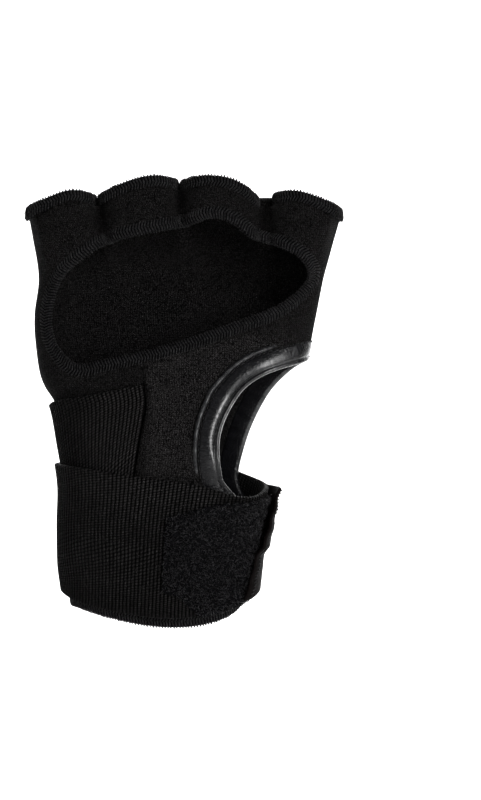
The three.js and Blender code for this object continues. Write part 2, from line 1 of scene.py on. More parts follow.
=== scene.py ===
"""Looks of a boxing inner glove: black stretch cloth with overlocked openings, a leather-faced
thumb hole and a ribbed elastic wrist strap. Lengths here are millimetres until a mesh is made.

All cloth lies on one curved sheet, the outside of the glove. A place on it is an angle round the
glove and a height: 0 degrees is the side of the thumb hole, 90 the palm, 180 the side of the
little loop and 270 the back. A lift is a distance out from that sheet.
"""

import math
from functools import partial

import bpy
import numpy as np
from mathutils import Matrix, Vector
from mathutils.geometry import delaunay_2d_cdt


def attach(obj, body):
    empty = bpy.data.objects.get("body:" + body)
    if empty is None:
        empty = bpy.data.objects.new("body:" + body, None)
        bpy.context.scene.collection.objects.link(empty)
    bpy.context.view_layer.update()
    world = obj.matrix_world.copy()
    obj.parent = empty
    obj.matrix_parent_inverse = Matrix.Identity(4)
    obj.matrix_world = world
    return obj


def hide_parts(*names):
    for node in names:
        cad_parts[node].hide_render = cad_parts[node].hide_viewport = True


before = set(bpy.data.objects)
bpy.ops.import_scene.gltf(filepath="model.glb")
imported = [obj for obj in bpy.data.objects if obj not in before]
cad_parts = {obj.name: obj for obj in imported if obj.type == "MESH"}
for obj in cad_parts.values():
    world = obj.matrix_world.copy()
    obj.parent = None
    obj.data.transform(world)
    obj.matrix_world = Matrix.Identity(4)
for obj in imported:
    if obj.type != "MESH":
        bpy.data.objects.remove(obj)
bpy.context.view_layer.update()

MM = 0.001
CLOTH, BACK_CLOTH, BACK_PROUD = 2.0, 2.4, 0.1
GAP = 0.35
HEM, HEM_THICK = 4.0, 2.8
HEM_HALF = 0.85  # half the thickness of the cloth's turned edge under the threads
HEM_SUNK = -0.95
UNDER_HEM = 0.4  # the cloth runs this far in under a hem
HEMS_LEFT, HEMS_RIGHT = -44.8, 63.3  # the loops' hems go no further out
STRAP_THICK, STRAP_LIFT, STRAP_WIDTH = 1.3, 0.9, 48.0
PATCH_THICK, TAB_THICK = 1.5, 1.2
SEAM, SEAM_GAP = 14.0, 1.2
PALM_LAP, BACK_LAP = 0.5, 1.4  # degrees by which the cloths run on at the side seams
ACROSS = 0.62  # millimetres for a degree round the glove, about
ROUNDING = 2.5  # how boxy the body is cut across: 2 would be an oval
LOOP_FLATTER = 0.94
WAVE_HEIGHT, WAVE_SIZE = 0.16, 9
PANEL_ROUND, PANEL_UP = 1.8, 1.15  # a panel's points, in degrees round and millimetres up
PANEL_CLEAR = 0.45  # inner points nearer than this to an edge go, as a squared distance


def table(names, *rows):
    """Rows of numbers as named columns. The first one is what the others are looked up by."""
    return dict(zip(names.split(), np.array(rows, float).T))


OUTLINE = table(
    "z left right palm back",
    [-12, -29.6, 28.8, 18.0, 18.0],
    [0, -29.7, 28.9, 18.2, 18.2],
    [14, -29.7, 30.4, 18.8, 18.0],
    [28, -29.9, 32.4, 19.6, 17.4],
    [42, -29.7, 35.8, 20.4, 17.0],
    [56, -31.9, 42.0, 20.6, 16.8],
    [69, -34.5, 47.2, 19.6, 16.6],
    [75, -38.1, 49.2, 18.9, 16.6],
    [80, -39.9, 50.6, 18.4, 16.6],
    [90, -41.3, 52.3, 17.4, 16.6],
    [100, -41.6, 54.3, 16.4, 16.8],
    [112, -40.2, 56.7, 15.6, 16.8],
    [124, -42.0, 60.1, 14.6, 15.6],
    [136, -44.4, 63.2, 13.0, 13.6],
    [148, -47.0, 66.3, 12.0, 12.4],
)
# Across, height, how far it swells out of the outline, and how wide it is.
PALM_SWELLS = [(24, 46, 2.6, 20), (-17, 50, 1.6, 17), (4, 84, -2.2, 22), (-8, 116, 0.8, 16)]
BACK_SWELLS = [(-29, 106, 1.2, 8), (-6, 112, 1.5, 9), (20, 114, 1.6, 9), (46, 111, 1.4, 9)]

LOOP_BASE, LOOP_TOP = 124.0, 138.0
LOOPS = [
    # name, left at base and top, right at base and top, depth, top edge at 0, 1/3, 2/3 and 1
    ("little", -42.0, -44.6, -16.7, -20.0, 11.2, (135.2, 138.7, 141.3, 139.6)),
    ("ring", -16.7, -20.0, 9.2, 7.6, 12.4, (139.4, 143.6, 146.1, 145.0)),
    ("middle", 9.2, 7.6, 34.6, 35.0, 12.8, (144.4, 146.2, 144.7, 138.6)),
    ("index", 38.4, 39.0, 59.4, 63.2, 12.2, (140.2, 141.0, 138.5, 134.8)),
]
WEB_BASE, WEB_TOP = 8.0, 5.0
LOOP_START, LOOP_FULL = 110.0, 128.0
CLEFT_TOP = table("x z", [-20, 135.4], [7.6, 140.6], [37, 135.0])
SIDE_TOP = table(
    "x z",
    [-48, 132.2],
    [-43, 132.6],
    [-36, 134.4],
    [-30, 150],
    [50, 150],
    [56, 134.2],
    [62, 132.0],
    [68, 131.4],
)
CUFF_SIDE, CUFF_PALM_DROP, CUFF_SLANT, CUFF_BACK_RISE = 0.95, 6.3, 3.0, 1.4

# The palm's cut-out, as places across and up.
CUT_OUT = [
    *[(52.2, 112.4), (48.4, 118.4), (40.0, 122.8), (32.0, 125.8), (25.6, 130.4), (18.8, 132.0)],
    *[(9.8, 129.4), (-4.6, 126.5), (-16.0, 123.6), (-25.0, 118.0), (-33.0, 110.4), (-36.2, 98.0)],
    *[(-34.2, 89.2), (-27.2, 82.6), (-16.0, 84.2), (3.6, 88.8), (24.0, 95.5), (44.0, 103.7)],
]
# The thumb hole, as angles and heights.
THUMB_HOLE = [
    *[(0, 83.8), (17, 83.2), (29, 82.0), (40.5, 80.2), (48, 78.2), (55.5, 74.6), (60.2, 70.4)],
    *[(63, 65.6), (64.2, 61.5), (63.9, 57), (62, 52), (59.3, 48.2), (55, 44.2), (48, 41)],
    *[(36, 37.4), (14, 34.6), (-10, 34.6), (-30, 37.4), (-42, 43.6), (-46, 52.0), (-46, 62.0)],
    *[(-41, 72.0), (-27, 80.4)],
]
FACING = 6.9
# The facing cut across: how far from the hole's edge, and how high on the cloth.
FACING_SECTION = [
    *[(0.0, -1.1), (0.03, -0.45), (0.25, 0.1), (0.55, 0.42), (0.95, 0.55), (1.25, 0.4)],
    *[(1.5, 0.05), (1.7, 0.0), (1.9, 0.34), (2.2, 0.58), (2.65, 0.8), (3.15, 0.95)],
    *[(3.7, 1.03), (4.3, 1.02), (5.0, 0.89), (5.7, 0.73), (6.3, 0.5), (6.75, 0.15)],
    *[(6.9, -1.0), (6.6, -1.75), (5.6, -2.0), (3.5, -2.0), (1.3, -2.0), (0.35, -1.7)],
]
# How far the facing turns up at its top and above the strap, and how flat it gets at the side.
TURN_UP_TOP, TURN_UP_LOW, FLATTEST = 1.3, 1.7, 0.4
FOLD_FINE, FOLD_FINER = 0.032, 0.024
TOP_DULL = 0.75  # how much of its polish the facing lacks at its top
PIPING_ACROSS, PIPING_RADIUS, PIPING_HEIGHT = 7.75, 0.72, 0.72 * 1.15
PIPING_PROUD, PIPING_SUNK = 0.65, -0.95

UNDER = STRAP_LIFT
OVER = STRAP_LIFT + STRAP_THICK + GAP
TAB_LIFT = OVER + PATCH_THICK + 0.5
# The strap's edges on its way round, from its sewn end on the palm at 103 degrees.
STRAP = table(
    "turn top bottom",
    [103, 75.2, 33],
    [130, 72.2, 24],
    [180, 69.6, 14],
    [225, 64, 9],
    [270, 55, 6],
    [315, 46, 5],
    [360, 41.6, 5.0],
    [385, 38.6, 1.4],
    [405, 39.0, -0.8],
    [430, 42.4, -2.2],
    [452, 44.2, -2.0],
    [475, 45.8, -0.2],
    [500, 48, 2.2],
    [540, 49.8, 6.0],
    [585, 48.6, 5.4],
    [645, 45.4, 5.0],
)
STRAP_START, STRAP_END = STRAP["turn"][[0, -1]]
STRAP_SKEW = 9.0
RIB_PITCH = 1.3
PATCH = table(
    "turn top bottom",
    [-12, 38.8, 7.0],
    [8, 38.4, 5.0],
    [30, 37.0, 1.4],
    [50, 36.6, -1.2],
    [62, 35.6, -1.4],
    [72, 34.0, 4.0],
    [86, 31.8, 6.6],
)
PATCH_SIZE, PATCH_GROUND = (38.0, 36.0), 0.9
TAB_START, TAB_SIZE = -88.0, (58.0, 37.0)
TAB = table(
    "z edge bulge",
    [3.4, 28, 0],
    [10, 24, 0],
    [19, 19, 0],
    [22, 17, 1.3],
    [30, 13, 1.6],
    [43.0, 3, 0.8],
)
TAB_CORNER_RISE, TAB_CORNER_TO = 3.2, 26.0


def lerp(a, b, t):
    return a + (b - a) * t


def smooth(t):
    s = np.clip(t, 0, 1)
    return s * s * (3 - 2 * s)


def ramp(value, start, end):
    """0 up to start, 1 from end on, and a soft rise between them."""
    return smooth((value - start) / (end - start))


def signed_power(value, power):
    return np.sign(value) * np.abs(value) ** power


def unit(vectors):
    return vectors / np.linalg.norm(vectors, axis=-1, keepdims=True)


def turns(count):
    return np.arange(count) / count * 2 * math.pi


def travelled(line):
    """How far along a line each of its points is."""
    return np.concatenate([[0], np.cumsum(np.linalg.norm(np.diff(line, axis=0), axis=1))])


def hermite(t, start, start_slope, end, end_slope):
    return (
        (2 * t**3 - 3 * t**2 + 1) * start
        + (t**3 - 2 * t**2 + t) * start_slope
        + (3 * t**2 - 2 * t**3) * end
        + (t**3 - t**2) * end_slope
    )


def along(rows, column, at):
    """One column of a table at given places, on a smooth curve through its rows."""
    key, value = next(iter(rows.values())), rows[column]
    at = np.asarray(at, float)
    place = np.arange(len(key))
    before, after = np.maximum(place - 1, 0), np.minimum(place + 1, len(key) - 1)
    slope = (value[after] - value[before]) / (key[after] - key[before])
    i = np.searchsorted(key[1:-1], at)
    span = key[i + 1] - key[i]
    t = np.clip((at - key[i]) / span, 0, 1)
    return hermite(t, value[i], span * slope[i], value[i + 1], span * slope[i + 1])


def swells(rows, x, z):
    return sum(h * np.exp(-((x - px) ** 2 + (z - pz) ** 2) / r**2) for px, pz, h, r in rows)


def loop_sides(loop, z):
    t = (z - LOOP_BASE) / (LOOP_TOP - LOOP_BASE)
    return lerp(loop[1], loop[2], t), lerp(loop[3], loop[4], t)


def loop_depth(x, z):
    """Depth of the four loops and of the cloth in the clefts between them."""
    depth = lerp(WEB_BASE, WEB_TOP, ramp(z, LOOP_BASE, LOOP_TOP))
    for loop in LOOPS:
        left, right = loop_sides(loop, z)
        v = np.minimum(np.abs((2 * x - left - right) / (right - left)), 1)
        depth = np.hypot(depth, loop[5] * np.sqrt(1 - v**2.4))
    return depth * LOOP_FLATTER


def sheet_point(angle, z):
    """A point on the outside of the glove's cloth."""
    angle, z = np.broadcast_arrays(np.asarray(angle, float), np.asarray(z, float))
    c, s = np.cos(np.radians(angle)), np.sin(np.radians(angle))
    x = lerp(along(OUTLINE, "left", z), along(OUTLINE, "right", z), (c + 1) / 2)
    edge = (1 - np.abs(c) ** ROUNDING) ** (1 / ROUNDING)
    palm = along(OUTLINE, "palm", z) + swells(PALM_SWELLS, x, z)
    back = along(OUTLINE, "back", z) + swells(BACK_SWELLS, x, z)
    body = np.where(s >= 0, palm, back) * edge
    loops = loop_depth(x, z) * np.minimum(1, edge * 2.2) ** 0.8
    depth = lerp(body, loops, ramp(z, LOOP_START, LOOP_FULL))
    return np.stack([x, np.where(s >= 0, -depth, depth), z], -1)


def sheet_steps(angle, z):
    """How a point on the sheet moves for a degree round it, and for a millimetre up."""
    around = (sheet_point(angle + 1, z) - sheet_point(angle - 1, z)) / 2
    return around, sheet_point(angle, z + 0.5) - sheet_point(angle, z - 0.5)


def sheet_normal(angle, z):
    around, up = sheet_steps(angle, z)
    return unit(np.cross(up, around))


def lifted(angle, z, lift):
    angle, z, lift = np.broadcast_arrays(angle, z, np.asarray(lift, float))
    return sheet_point(angle, z) + sheet_normal(angle, z) * lift[..., None]


def palm_angle(x, z):
    left, right = along(OUTLINE, "left", z), along(OUTLINE, "right", z)
    return np.degrees(np.arccos(np.clip((2 * x - left - right) / (right - left), -1, 1)))


def loop_top(loop, share):
    rows = {"at": np.arange(4) / 3, "top": np.array(loop[6])}
    return along(rows, "top", np.clip(share, 0, 1))


def cloth_top(angle):
    """Height where the cloth ends under the loops' hems. In a cleft it dips."""
    x = sheet_point(angle, LOOP_TOP)[..., 0]
    cleft = along(CLEFT_TOP, "z", x)
    height = cleft
    for loop in LOOPS:
        left, right = loop_sides(loop, LOOP_TOP)
        share = (x - left) / (right - left)
        near = (share >= -0.06) & (share <= 1.06)
        inside = smooth(np.minimum(share, 1 - share) * 7 + 0.4)
        top = lerp(cleft, loop_top(loop, share) - HEM - 0.5, inside)
        height = np.where(near, top, height)
    return np.minimum(height, along(SIDE_TOP, "z", x))


def cuff_edge(angle):
    c, s = np.cos(np.radians(angle)), np.sin(np.radians(angle))
    palm = CUFF_SIDE - CUFF_PALM_DROP * np.maximum(s, 0) ** 1.8 - CUFF_SLANT * c * s
    return np.where(s < 0, CUFF_SIDE - CUFF_BACK_RISE * s, palm)


ROUND_STEP, HEIGHT_STEP = 2.0, 3.0
ROUND = np.arange(-80.0, 440.0, ROUND_STEP)
HEIGHTS = np.arange(-14.0, 154.0, HEIGHT_STEP)


def lengths_round():
    """Millimetres round the cloth from the palm's middle, at each of the heights."""
    length = np.stack([travelled(sheet_point(ROUND, z)) for z in HEIGHTS])
    return length - length[:, [int(np.argmin(np.abs(ROUND - 90)))]]


LENGTHS = lengths_round()


def cloth_place(angle, z):
    """Where a place lies on the flat cloth: millimetres round from the palm's middle, and up."""
    a = np.clip((angle - ROUND[0]) / ROUND_STEP, 0, len(ROUND) - 1.001)
    h = np.clip((z - HEIGHTS[0]) / HEIGHT_STEP, 0, len(HEIGHTS) - 1.001)
    i, j = a.astype(int), h.astype(int)
    low = lerp(LENGTHS[j, i], LENGTHS[j, i + 1], a - i)
    high = lerp(LENGTHS[j + 1, i], LENGTHS[j + 1, i + 1], a - i)
    return np.stack([lerp(low, high, h - j), z], -1)


def soft_waves(angle, z, height, size):
    """Shallow uneven waves of worn stretch cloth."""
    flat = cloth_place(angle, z) / size
    x, y = flat[..., 0], flat[..., 1]
    waves = np.sin(1.3 * x + 0.7 * y + 1.1) * np.cos(0.9 * y - 0.5 * x)
    waves = waves + 0.6 * np.sin(2.3 * x - 1.7 * y + 0.4) + 0.4 * np.cos(3.1 * y + 1.9 * x)
    return height * waves / 2


def rubbed(angle, z):
    """Painted light and shade on the cloth: how much paler it is painted between the palm seam and
    the thumb hole, as a lit patch, and how much darker in the clefts between the loops, as painted
    shade."""
    pale = 0.75 * ramp(angle, 104, 98) * ramp(angle, 20, 50) * ramp(z, 96, 88) * ramp(z, 20, 30)
    x = sheet_point(angle, z)[..., 0]
    for cleft, half in ((-18.6, 1.6), (8.2, 1.6), (36.8, 2.6)):
        pale = pale - 0.6 * np.exp(-(((x - cleft) / half) ** 2)) * ramp(z, 118, 128)
    return pale


def closed_run(corners, count):
    """Evenly spaced places on the smooth closed curve through the given ones."""
    p = np.array(corners, float)
    before, after, second = np.roll(p, 1, 0), np.roll(p, -1, 0), np.roll(p, -2, 0)

    def reach(a, b):
        return np.linalg.norm(b - a, axis=1)[:, None] ** 0.5

    d0, d1, d2 = reach(before, p), reach(p, after), reach(after, second)
    m0 = ((p - before) / d0 - (after - before) / (d0 + d1) + (after - p) / d1) * d1
    m1 = ((after - p) / d1 - (second - p) / (d1 + d2) + (second - after) / d2) * d1
    t = np.linspace(0, 1, 40, endpoint=False)[:, None, None]
    dense = hermite(t, p, m0, after, m1).transpose(1, 0, 2).reshape(-1, 2)
    dense = np.concatenate([dense, dense[:1]])
    length = travelled(dense)
    at = np.linspace(0, length[-1], count, endpoint=False)
    return np.stack([np.interp(at, length, dense[:, k]) for k in range(2)], 1)


class Run:
    """Stations round an opening. Each knows how its angle and height change for a millimetre
    away from the opening."""

    def __init__(self, places):
        self.angle, self.z = places.T
        points = sheet_point(self.angle, self.z)
        ahead = np.roll(points, -1, 0) - np.roll(points, 1, 0)
        away = unit(np.cross(ahead, sheet_normal(self.angle, self.z)))
        inward = (away * (points - points.mean(0))).sum(1) < 0
        away[inward] *= -1
        around, up = sheet_steps(self.angle, self.z)
        rr, ru, uu = (around**2).sum(1), (around * up).sum(1), (up**2).sum(1)
        ar, au = (away * around).sum(1), (away * up).sum(1)
        scale = 1 / (rr * uu - ru * ru)
        self.turn = (ar * uu - au * ru) * scale
        self.rise = (au * rr - ar * ru) * scale

    def beside(self, across):
        return self.angle + self.turn * across, self.z + self.rise * across

    def point(self, across, lift):
        return lifted(*self.beside(across), lift)

    def frames(self, across, lift):
        """Points beside the run with the directions out of the cloth and away from the edge."""
        points = self.point(across, lift)
        away = unit(self.point(across + 0.5, lift) - self.point(across - 0.5, lift))
        return points, sheet_normal(*self.beside(across)), away


def cut_out_run(count):
    edge = closed_run(CUT_OUT, count)
    return Run(np.stack([palm_angle(edge[:, 0], edge[:, 1]), edge[:, 1]], 1))


def thumb_run(count):
    return Run(closed_run(THUMB_HOLE, count))


def above_strap(angle, z):
    return z - along(STRAP, "top", 360 + angle)


def strap_lift(turn, z):
    """The second turn of the strap lies over the first, and comes down where the first ends."""
    reached = ramp(turn, 405, 455)
    covered = ramp(z - along(STRAP, "bottom", turn - 360), -12, 2)
    free = lerp(1.0, 0.15, ramp(turn, 440, 470))
    tight = 0.3 * ramp(np.abs(turn - 180), 65, 35)
    return lerp(UNDER - tight, OVER, reached * lerp(free, 1, covered))


def facing_out(points, faces):
    """The faces of a closed shape, turned over if they point inwards."""
    volume = 0.0
    by_size = {}
    for face in faces:
        by_size.setdefault(len(face), []).append(face)
    for size, group in by_size.items():
        corners = points[np.array(group)]
        for k in range(1, size - 1):
            volume += (corners[:, 0] * np.cross(corners[:, k], corners[:, k + 1])).sum()
    return [face[::-1] for face in faces] if volume < 0 else faces


def placed(name, data):
    """A new object in the scene, at the origin."""
    made = bpy.data.objects.new(name, data)
    bpy.context.scene.collection.objects.link(made)
    return made


def piece(name, points, faces, finish, flat=None, closed=True):
    """A mesh piece from points in millimetres. flat gives each point's place on the flat cloth."""
    points = np.asarray(points, float).reshape(-1, 3)
    faces = [tuple(int(i) for i in face) for face in faces]
    if closed:
        faces = facing_out(points, faces)
    mesh = bpy.data.meshes.new(name)
    mesh.from_pydata((points * MM).tolist(), [], faces)
    mesh.shade_smooth()
    if flat is not None:
        corner = np.zeros(len(mesh.loops), np.int32)
        mesh.loops.foreach_get("vertex_index", corner)
        layer = mesh.uv_layers.new(name="flat_cloth")
        layer.data.foreach_set("uv", np.asarray(flat, np.float32).reshape(-1, 2)[corner].ravel())
    mesh.materials.append(finish)
    return placed(name, mesh)


def keep_vectors(mesh, name, vectors):
    layer = mesh.attributes.new(name, "FLOAT_VECTOR", "POINT")
    layer.data.foreach_set("vector", np.asarray(vectors, np.float32).ravel())


def keep_numbers(mesh, name, numbers):
    layer = mesh.attributes.new(name, "FLOAT", "POINT")
    layer.data.foreach_set("value", np.asarray(numbers, np.float32).ravel())


def ring_faces(rows, sides):
    """Faces of a tube that runs round and meets itself."""
    i, j = np.meshgrid(np.arange(rows), np.arange(sides), indexing="ij")
    a, b = i * sides, ((i + 1) % rows) * sides
    k = (j + 1) % sides
    return np.stack([a + j, b + j, b + k, a + k], -1).reshape(-1, 4).tolist()


def tube_faces(rows, sides):
    """Faces of an open tube with both ends closed."""
    faces = [f for f in ring_faces(rows, sides) if abs(f[0] - f[1]) == sides]
    return [*faces, list(range(sides)), [(rows - 1) * sides + k for k in range(sides)][::-1]]


def grid_faces(grid):
    quads = np.stack([grid[:-1, :-1], grid[1:, :-1], grid[1:, 1:], grid[:-1, 1:]], -1)
    return quads.reshape(-1, 4)


def swept(points, side, out, wide, thick):
    """A section, given as offsets to the side and out, carried along a line."""
    return points[:, None] + side[:, None] * wide[:, None] + out[:, None] * thick[:, None]


def only_used(faces, count):
    """Which of the points faces use, and the faces with those points' new numbers."""
    used = np.unique(faces)
    number = np.full(count, -1)
    number[used] = np.arange(len(used))
    return used, number[faces]


def spaced(count, length, rim):
    """Places from 0 to 1 with close rows near both ends, where the edge is rounded."""
    near = np.array([0, 0.06, 0.22, 0.55, 1.0]) * rim / length
    middle = np.linspace(near[-1], 1 - near[-1], count + 1)[1:-1]
    return np.concatenate([near, middle, 1 - near[::-1]])


def roundness(share, length, rim):
    inside = np.clip(np.minimum(share, 1 - share) * length / rim, 0, 1)
    return np.sqrt(1 - (1 - inside) ** 2)


def strip(name, place, counts, lengths, thick, rim, finish, flat=None, tone_and_painted_light=None):
    """A strip of cloth with rounded edges. place(u, v) gives angle, height and middle lift,
    flat(u, v) its place on the flat strip, and the last argument, given u and v, how much paler it
    is than the rest, as painted light and shade."""
    u = spaced(counts[0], lengths[0], rim)[:, None]
    v = spaced(counts[1], lengths[1], rim)[None, :]
    u, v = np.broadcast_arrays(u, v)
    angle, z, lift = np.broadcast_arrays(*place(u, v))
    half = thick / 2 * roundness(u, lengths[0], rim) * roundness(v, lengths[1], rim)
    front = np.arange(u.size).reshape(u.shape)
    behind = front + u.size
    for edge in (np.s_[0], np.s_[-1], np.s_[:, 0], np.s_[:, -1]):
        behind[edge] = front[edge]
    faces = np.concatenate([grid_faces(front), grid_faces(behind)[:, ::-1]])
    used, faces = only_used(faces, 2 * u.size)

    def both_sides(outer, inner=None):
        return np.concatenate([outer, outer if inner is None else inner])[used]

    outer, inner = (lifted(angle, z, lift + up).reshape(-1, 3) for up in (half, -half))
    places = cloth_place(angle, z) if flat is None else np.stack(flat(u, v), -1)
    places = both_sides(places.reshape(-1, 2))
    made = piece(name, both_sides(outer, inner), faces.tolist(), finish, places)
    keep_vectors(made.data, "outward", both_sides(sheet_normal(angle, z).reshape(-1, 3)))
    keep_numbers(made.data, "outer_face", both_sides((half / thick * 2).ravel(), np.zeros(u.size)))
    keep_numbers(made.data, "run_length", places[:, 0] * MM)
    # Painted light and shade, kept on both faces.
    if tone_and_painted_light:
        keep_numbers(made.data, "rubbed", both_sides(tone_and_painted_light(u, v).ravel()))
    return made


def inside_outline(points, outline):
    """Which points lie in a closed outline."""
    x, y = points.T
    hit = np.zeros(len(points), bool)
    for (ax, ay), (bx, by) in zip(outline, np.roll(outline, -1, 0)):
        crosses = (ay > y) != (by > y)
        if ay != by:
            hit ^= crosses & (x < ax + (y - ay) * (bx - ax) / (by - ay))
    return hit


def panel_outline(first, last):
    """A panel's edge, from its cuff up one side seam, round the loops and down the other."""
    angles = np.linspace(first, last, int((last - first) / 1.2))
    low = cuff_edge(angles) + HEM - UNDER_HEM
    top = cloth_top(angles) + 0.5 + UNDER_HEM
    rise = np.linspace(0, 1, 70)[1:-1]
    up = np.stack([np.full(68, last), lerp(low[-1], top[-1], rise)], 1)
    down = np.stack([np.full(68, first), lerp(low[0], top[0], rise)], 1)[::-1]
    return np.concatenate([np.stack([angles, low], 1), up, np.stack([angles, top], 1)[::-1], down])


def panel(name, first, last, openings, lift, thick, finish):
    """A panel cut from the sheet, with openings, as a wall with two faces and a rim."""
    rows_round, rows_up = np.arange(first + 1, last, PANEL_ROUND), np.arange(-12, 150, PANEL_UP)
    grid_angle, grid_z = np.meshgrid(rows_round, rows_up)
    grid_angle = grid_angle + (np.arange(grid_angle.shape[0]) % 2)[:, None] * (PANEL_ROUND / 2)
    scale = np.array([ACROSS, 1])
    inner = np.stack([grid_angle.ravel(), grid_z.ravel()], 1) * scale
    runs = [run * scale for run in (panel_outline(first, last), *openings)]
    points, edges = [], []
    close = np.zeros(len(inner), bool)
    for run in runs:
        start = len(points)
        points += run.tolist()
        edges += [(start + i, start + (i + 1) % len(run)) for i in range(len(run))]
        for x, y in run[::2]:
            close |= (inner[:, 0] - x) ** 2 + (inner[:, 1] - y) ** 2 < PANEL_CLEAR
    points += inner[~close & inside_outline(inner, runs[0])].tolist()
    found = delaunay_2d_cdt([Vector(p) for p in points], edges, [], 0, 1e-5)
    flat = np.array([(p.x, p.y) for p in found[0]])
    faces = np.array(found[2])
    centres = flat[faces].mean(1)
    kept = inside_outline(centres, runs[0])
    for run in runs[1:]:
        kept &= ~inside_outline(centres, run)
    used, faces = only_used(faces[kept], len(flat))
    angle, z = (flat[used] / scale).T
    lift = lift + soft_waves(angle, z, WAVE_HEIGHT, WAVE_SIZE)
    count = len(angle)
    walls = np.concatenate([lifted(angle, z, lift), lifted(angle, z, lift - thick)])
    sides = np.concatenate([faces[:, [0, 1]], faces[:, [1, 2]], faces[:, [2, 0]]])
    _, where, times = np.unique(np.sort(sides, 1), axis=0, return_index=True, return_counts=True)
    rim = sides[where[times == 1]]
    quads = np.stack([rim[:, 1], rim[:, 0], rim[:, 0] + count, rim[:, 1] + count], 1)
    all_faces = [*faces.tolist(), *(faces[:, ::-1] + count).tolist(), *quads.tolist()]
    places = cloth_place(angle, z)
    made = piece(name, walls, all_faces, finish, np.concatenate([places, places]))
    # Painted light and shade, on the outer face only.
    keep_numbers(made.data, "rubbed", np.concatenate([rubbed(angle, z), np.zeros(count)]))
    return made


class Wire:
    """A node's output. Signs between wires and numbers add maths nodes to the tree."""

    def __init__(self, tree, socket):
        self.tree, self.socket = tree, socket

    def __getitem__(self, key):
        """Another output of the same node."""
        return Wire(self.tree, self.socket.node.outputs[key])

    def maths(self, operation, *values):
        return node(self.tree, "ShaderNodeMath", dict(enumerate(values)), operation=operation)

    def __add__(self, other):
        return self.maths("ADD", self, other)

    def __sub__(self, other):
        return self.maths("SUBTRACT", self, other)

    def __rsub__(self, other):
        return self.maths("SUBTRACT", other, self)

    def __mul__(self, other):
        return self.maths("MULTIPLY", self, other)

    def __truediv__(self, other):
        return self.maths("DIVIDE", self, other)

    def __rtruediv__(self, other):
        return self.maths("DIVIDE", other, self)

    def __pow__(self, power):
        return self.maths("POWER", self, power)

    def __abs__(self):
        return self.maths("ABSOLUTE", self)

    def humps(self):
        """Round humps side by side, one for each unit."""
        return abs(self.maths("SINE", self * math.pi))


def connect(made, inputs):
    """A node's inputs, given as values or as wires."""
    for key, value in inputs.items():
        if isinstance(value, Wire):
            value.tree.links.new(value.socket, made.inputs[key])
        else:
            made.inputs[key].default_value = value


def node(tree, kind, inputs=None, output=0, **settings):
    """A new node with its settings and inputs, as the wire of one of its outputs."""
    made = tree.nodes.new(kind)
    for key, value in settings.items():
        setattr(made, key, value)
    connect(made, inputs or {})
    return Wire(tree, made.outputs[output])


NUMBER, WHOLE = "NodeSocketFloat", "NodeSocketInt"
VECTOR, COLOUR = "NodeSocketVector", "NodeSocketColor"
GEOMETRY, FINISH = "NodeSocketGeometry", "NodeSocketMaterial"


def socket_kind(value):
    """The kind of a group's input, from its usual value. One without a value names its kind."""
    if isinstance(value, str):
        return value
    if isinstance(value, tuple):
        return COLOUR if len(value) == 4 else VECTOR
    return WHOLE if isinstance(value, int) else NUMBER


def new_group(name, kind, inputs, outputs):
    """A node group: its tree, what adds a node to it, its inputs and its last node."""
    tree = bpy.data.node_groups.new(name, kind)
    for label, value in inputs.items():
        kind = socket_kind(value)
        made = tree.interface.new_socket(label, in_out="INPUT", socket_type=kind)
        if kind != value:
            made.default_value = value
    for label, kind in outputs.items():
        tree.interface.new_socket(label, in_out="OUTPUT", socket_type=kind)
    given, end = node(tree, "NodeGroupInput"), tree.nodes.new("NodeGroupOutput")
    return tree, partial(node, tree), given, end


THREAD_ENDS = ("Start", "Start Handle", "End Handle", "End")


def thread_tube(add, bends, ends, sides, radius, caps):
    """A bent length of thread."""
    bezier = {"Resolution": bends, **dict(zip(THREAD_ENDS, ends))}
    line = add("GeometryNodeCurvePrimitiveBezierSegment", bezier)
    section = add("GeometryNodeCurvePrimitiveCircle", {"Resolution": sides, "Radius": radius})
    tube = {"Curve": line, "Profile Curve": section, "Fill Caps": caps}
    return add("GeometryNodeCurveToMesh", tube)


def random_number(add, low, high, seed):
    drawn = {2: low, 3: high, "Seed": seed}
    return add("FunctionNodeRandomValue", drawn, 1, data_type="FLOAT")


def kept(add, name, kind="FLOAT"):
    """What the points of a mesh keep under a name."""
    return add("GeometryNodeInputNamedAttribute", {"Name": name}, data_type=kind)


def end_with(add, geometry, finish, end):
    """Real geometry, smooth and with its finish."""
    real = add("GeometryNodeRealizeInstances", {"Geometry": geometry})
    real = add("GeometryNodeSetShadeSmooth", {"Geometry": real})
    connect(end, {0: add("GeometryNodeSetMaterial", {"Geometry": real, "Material": finish})})


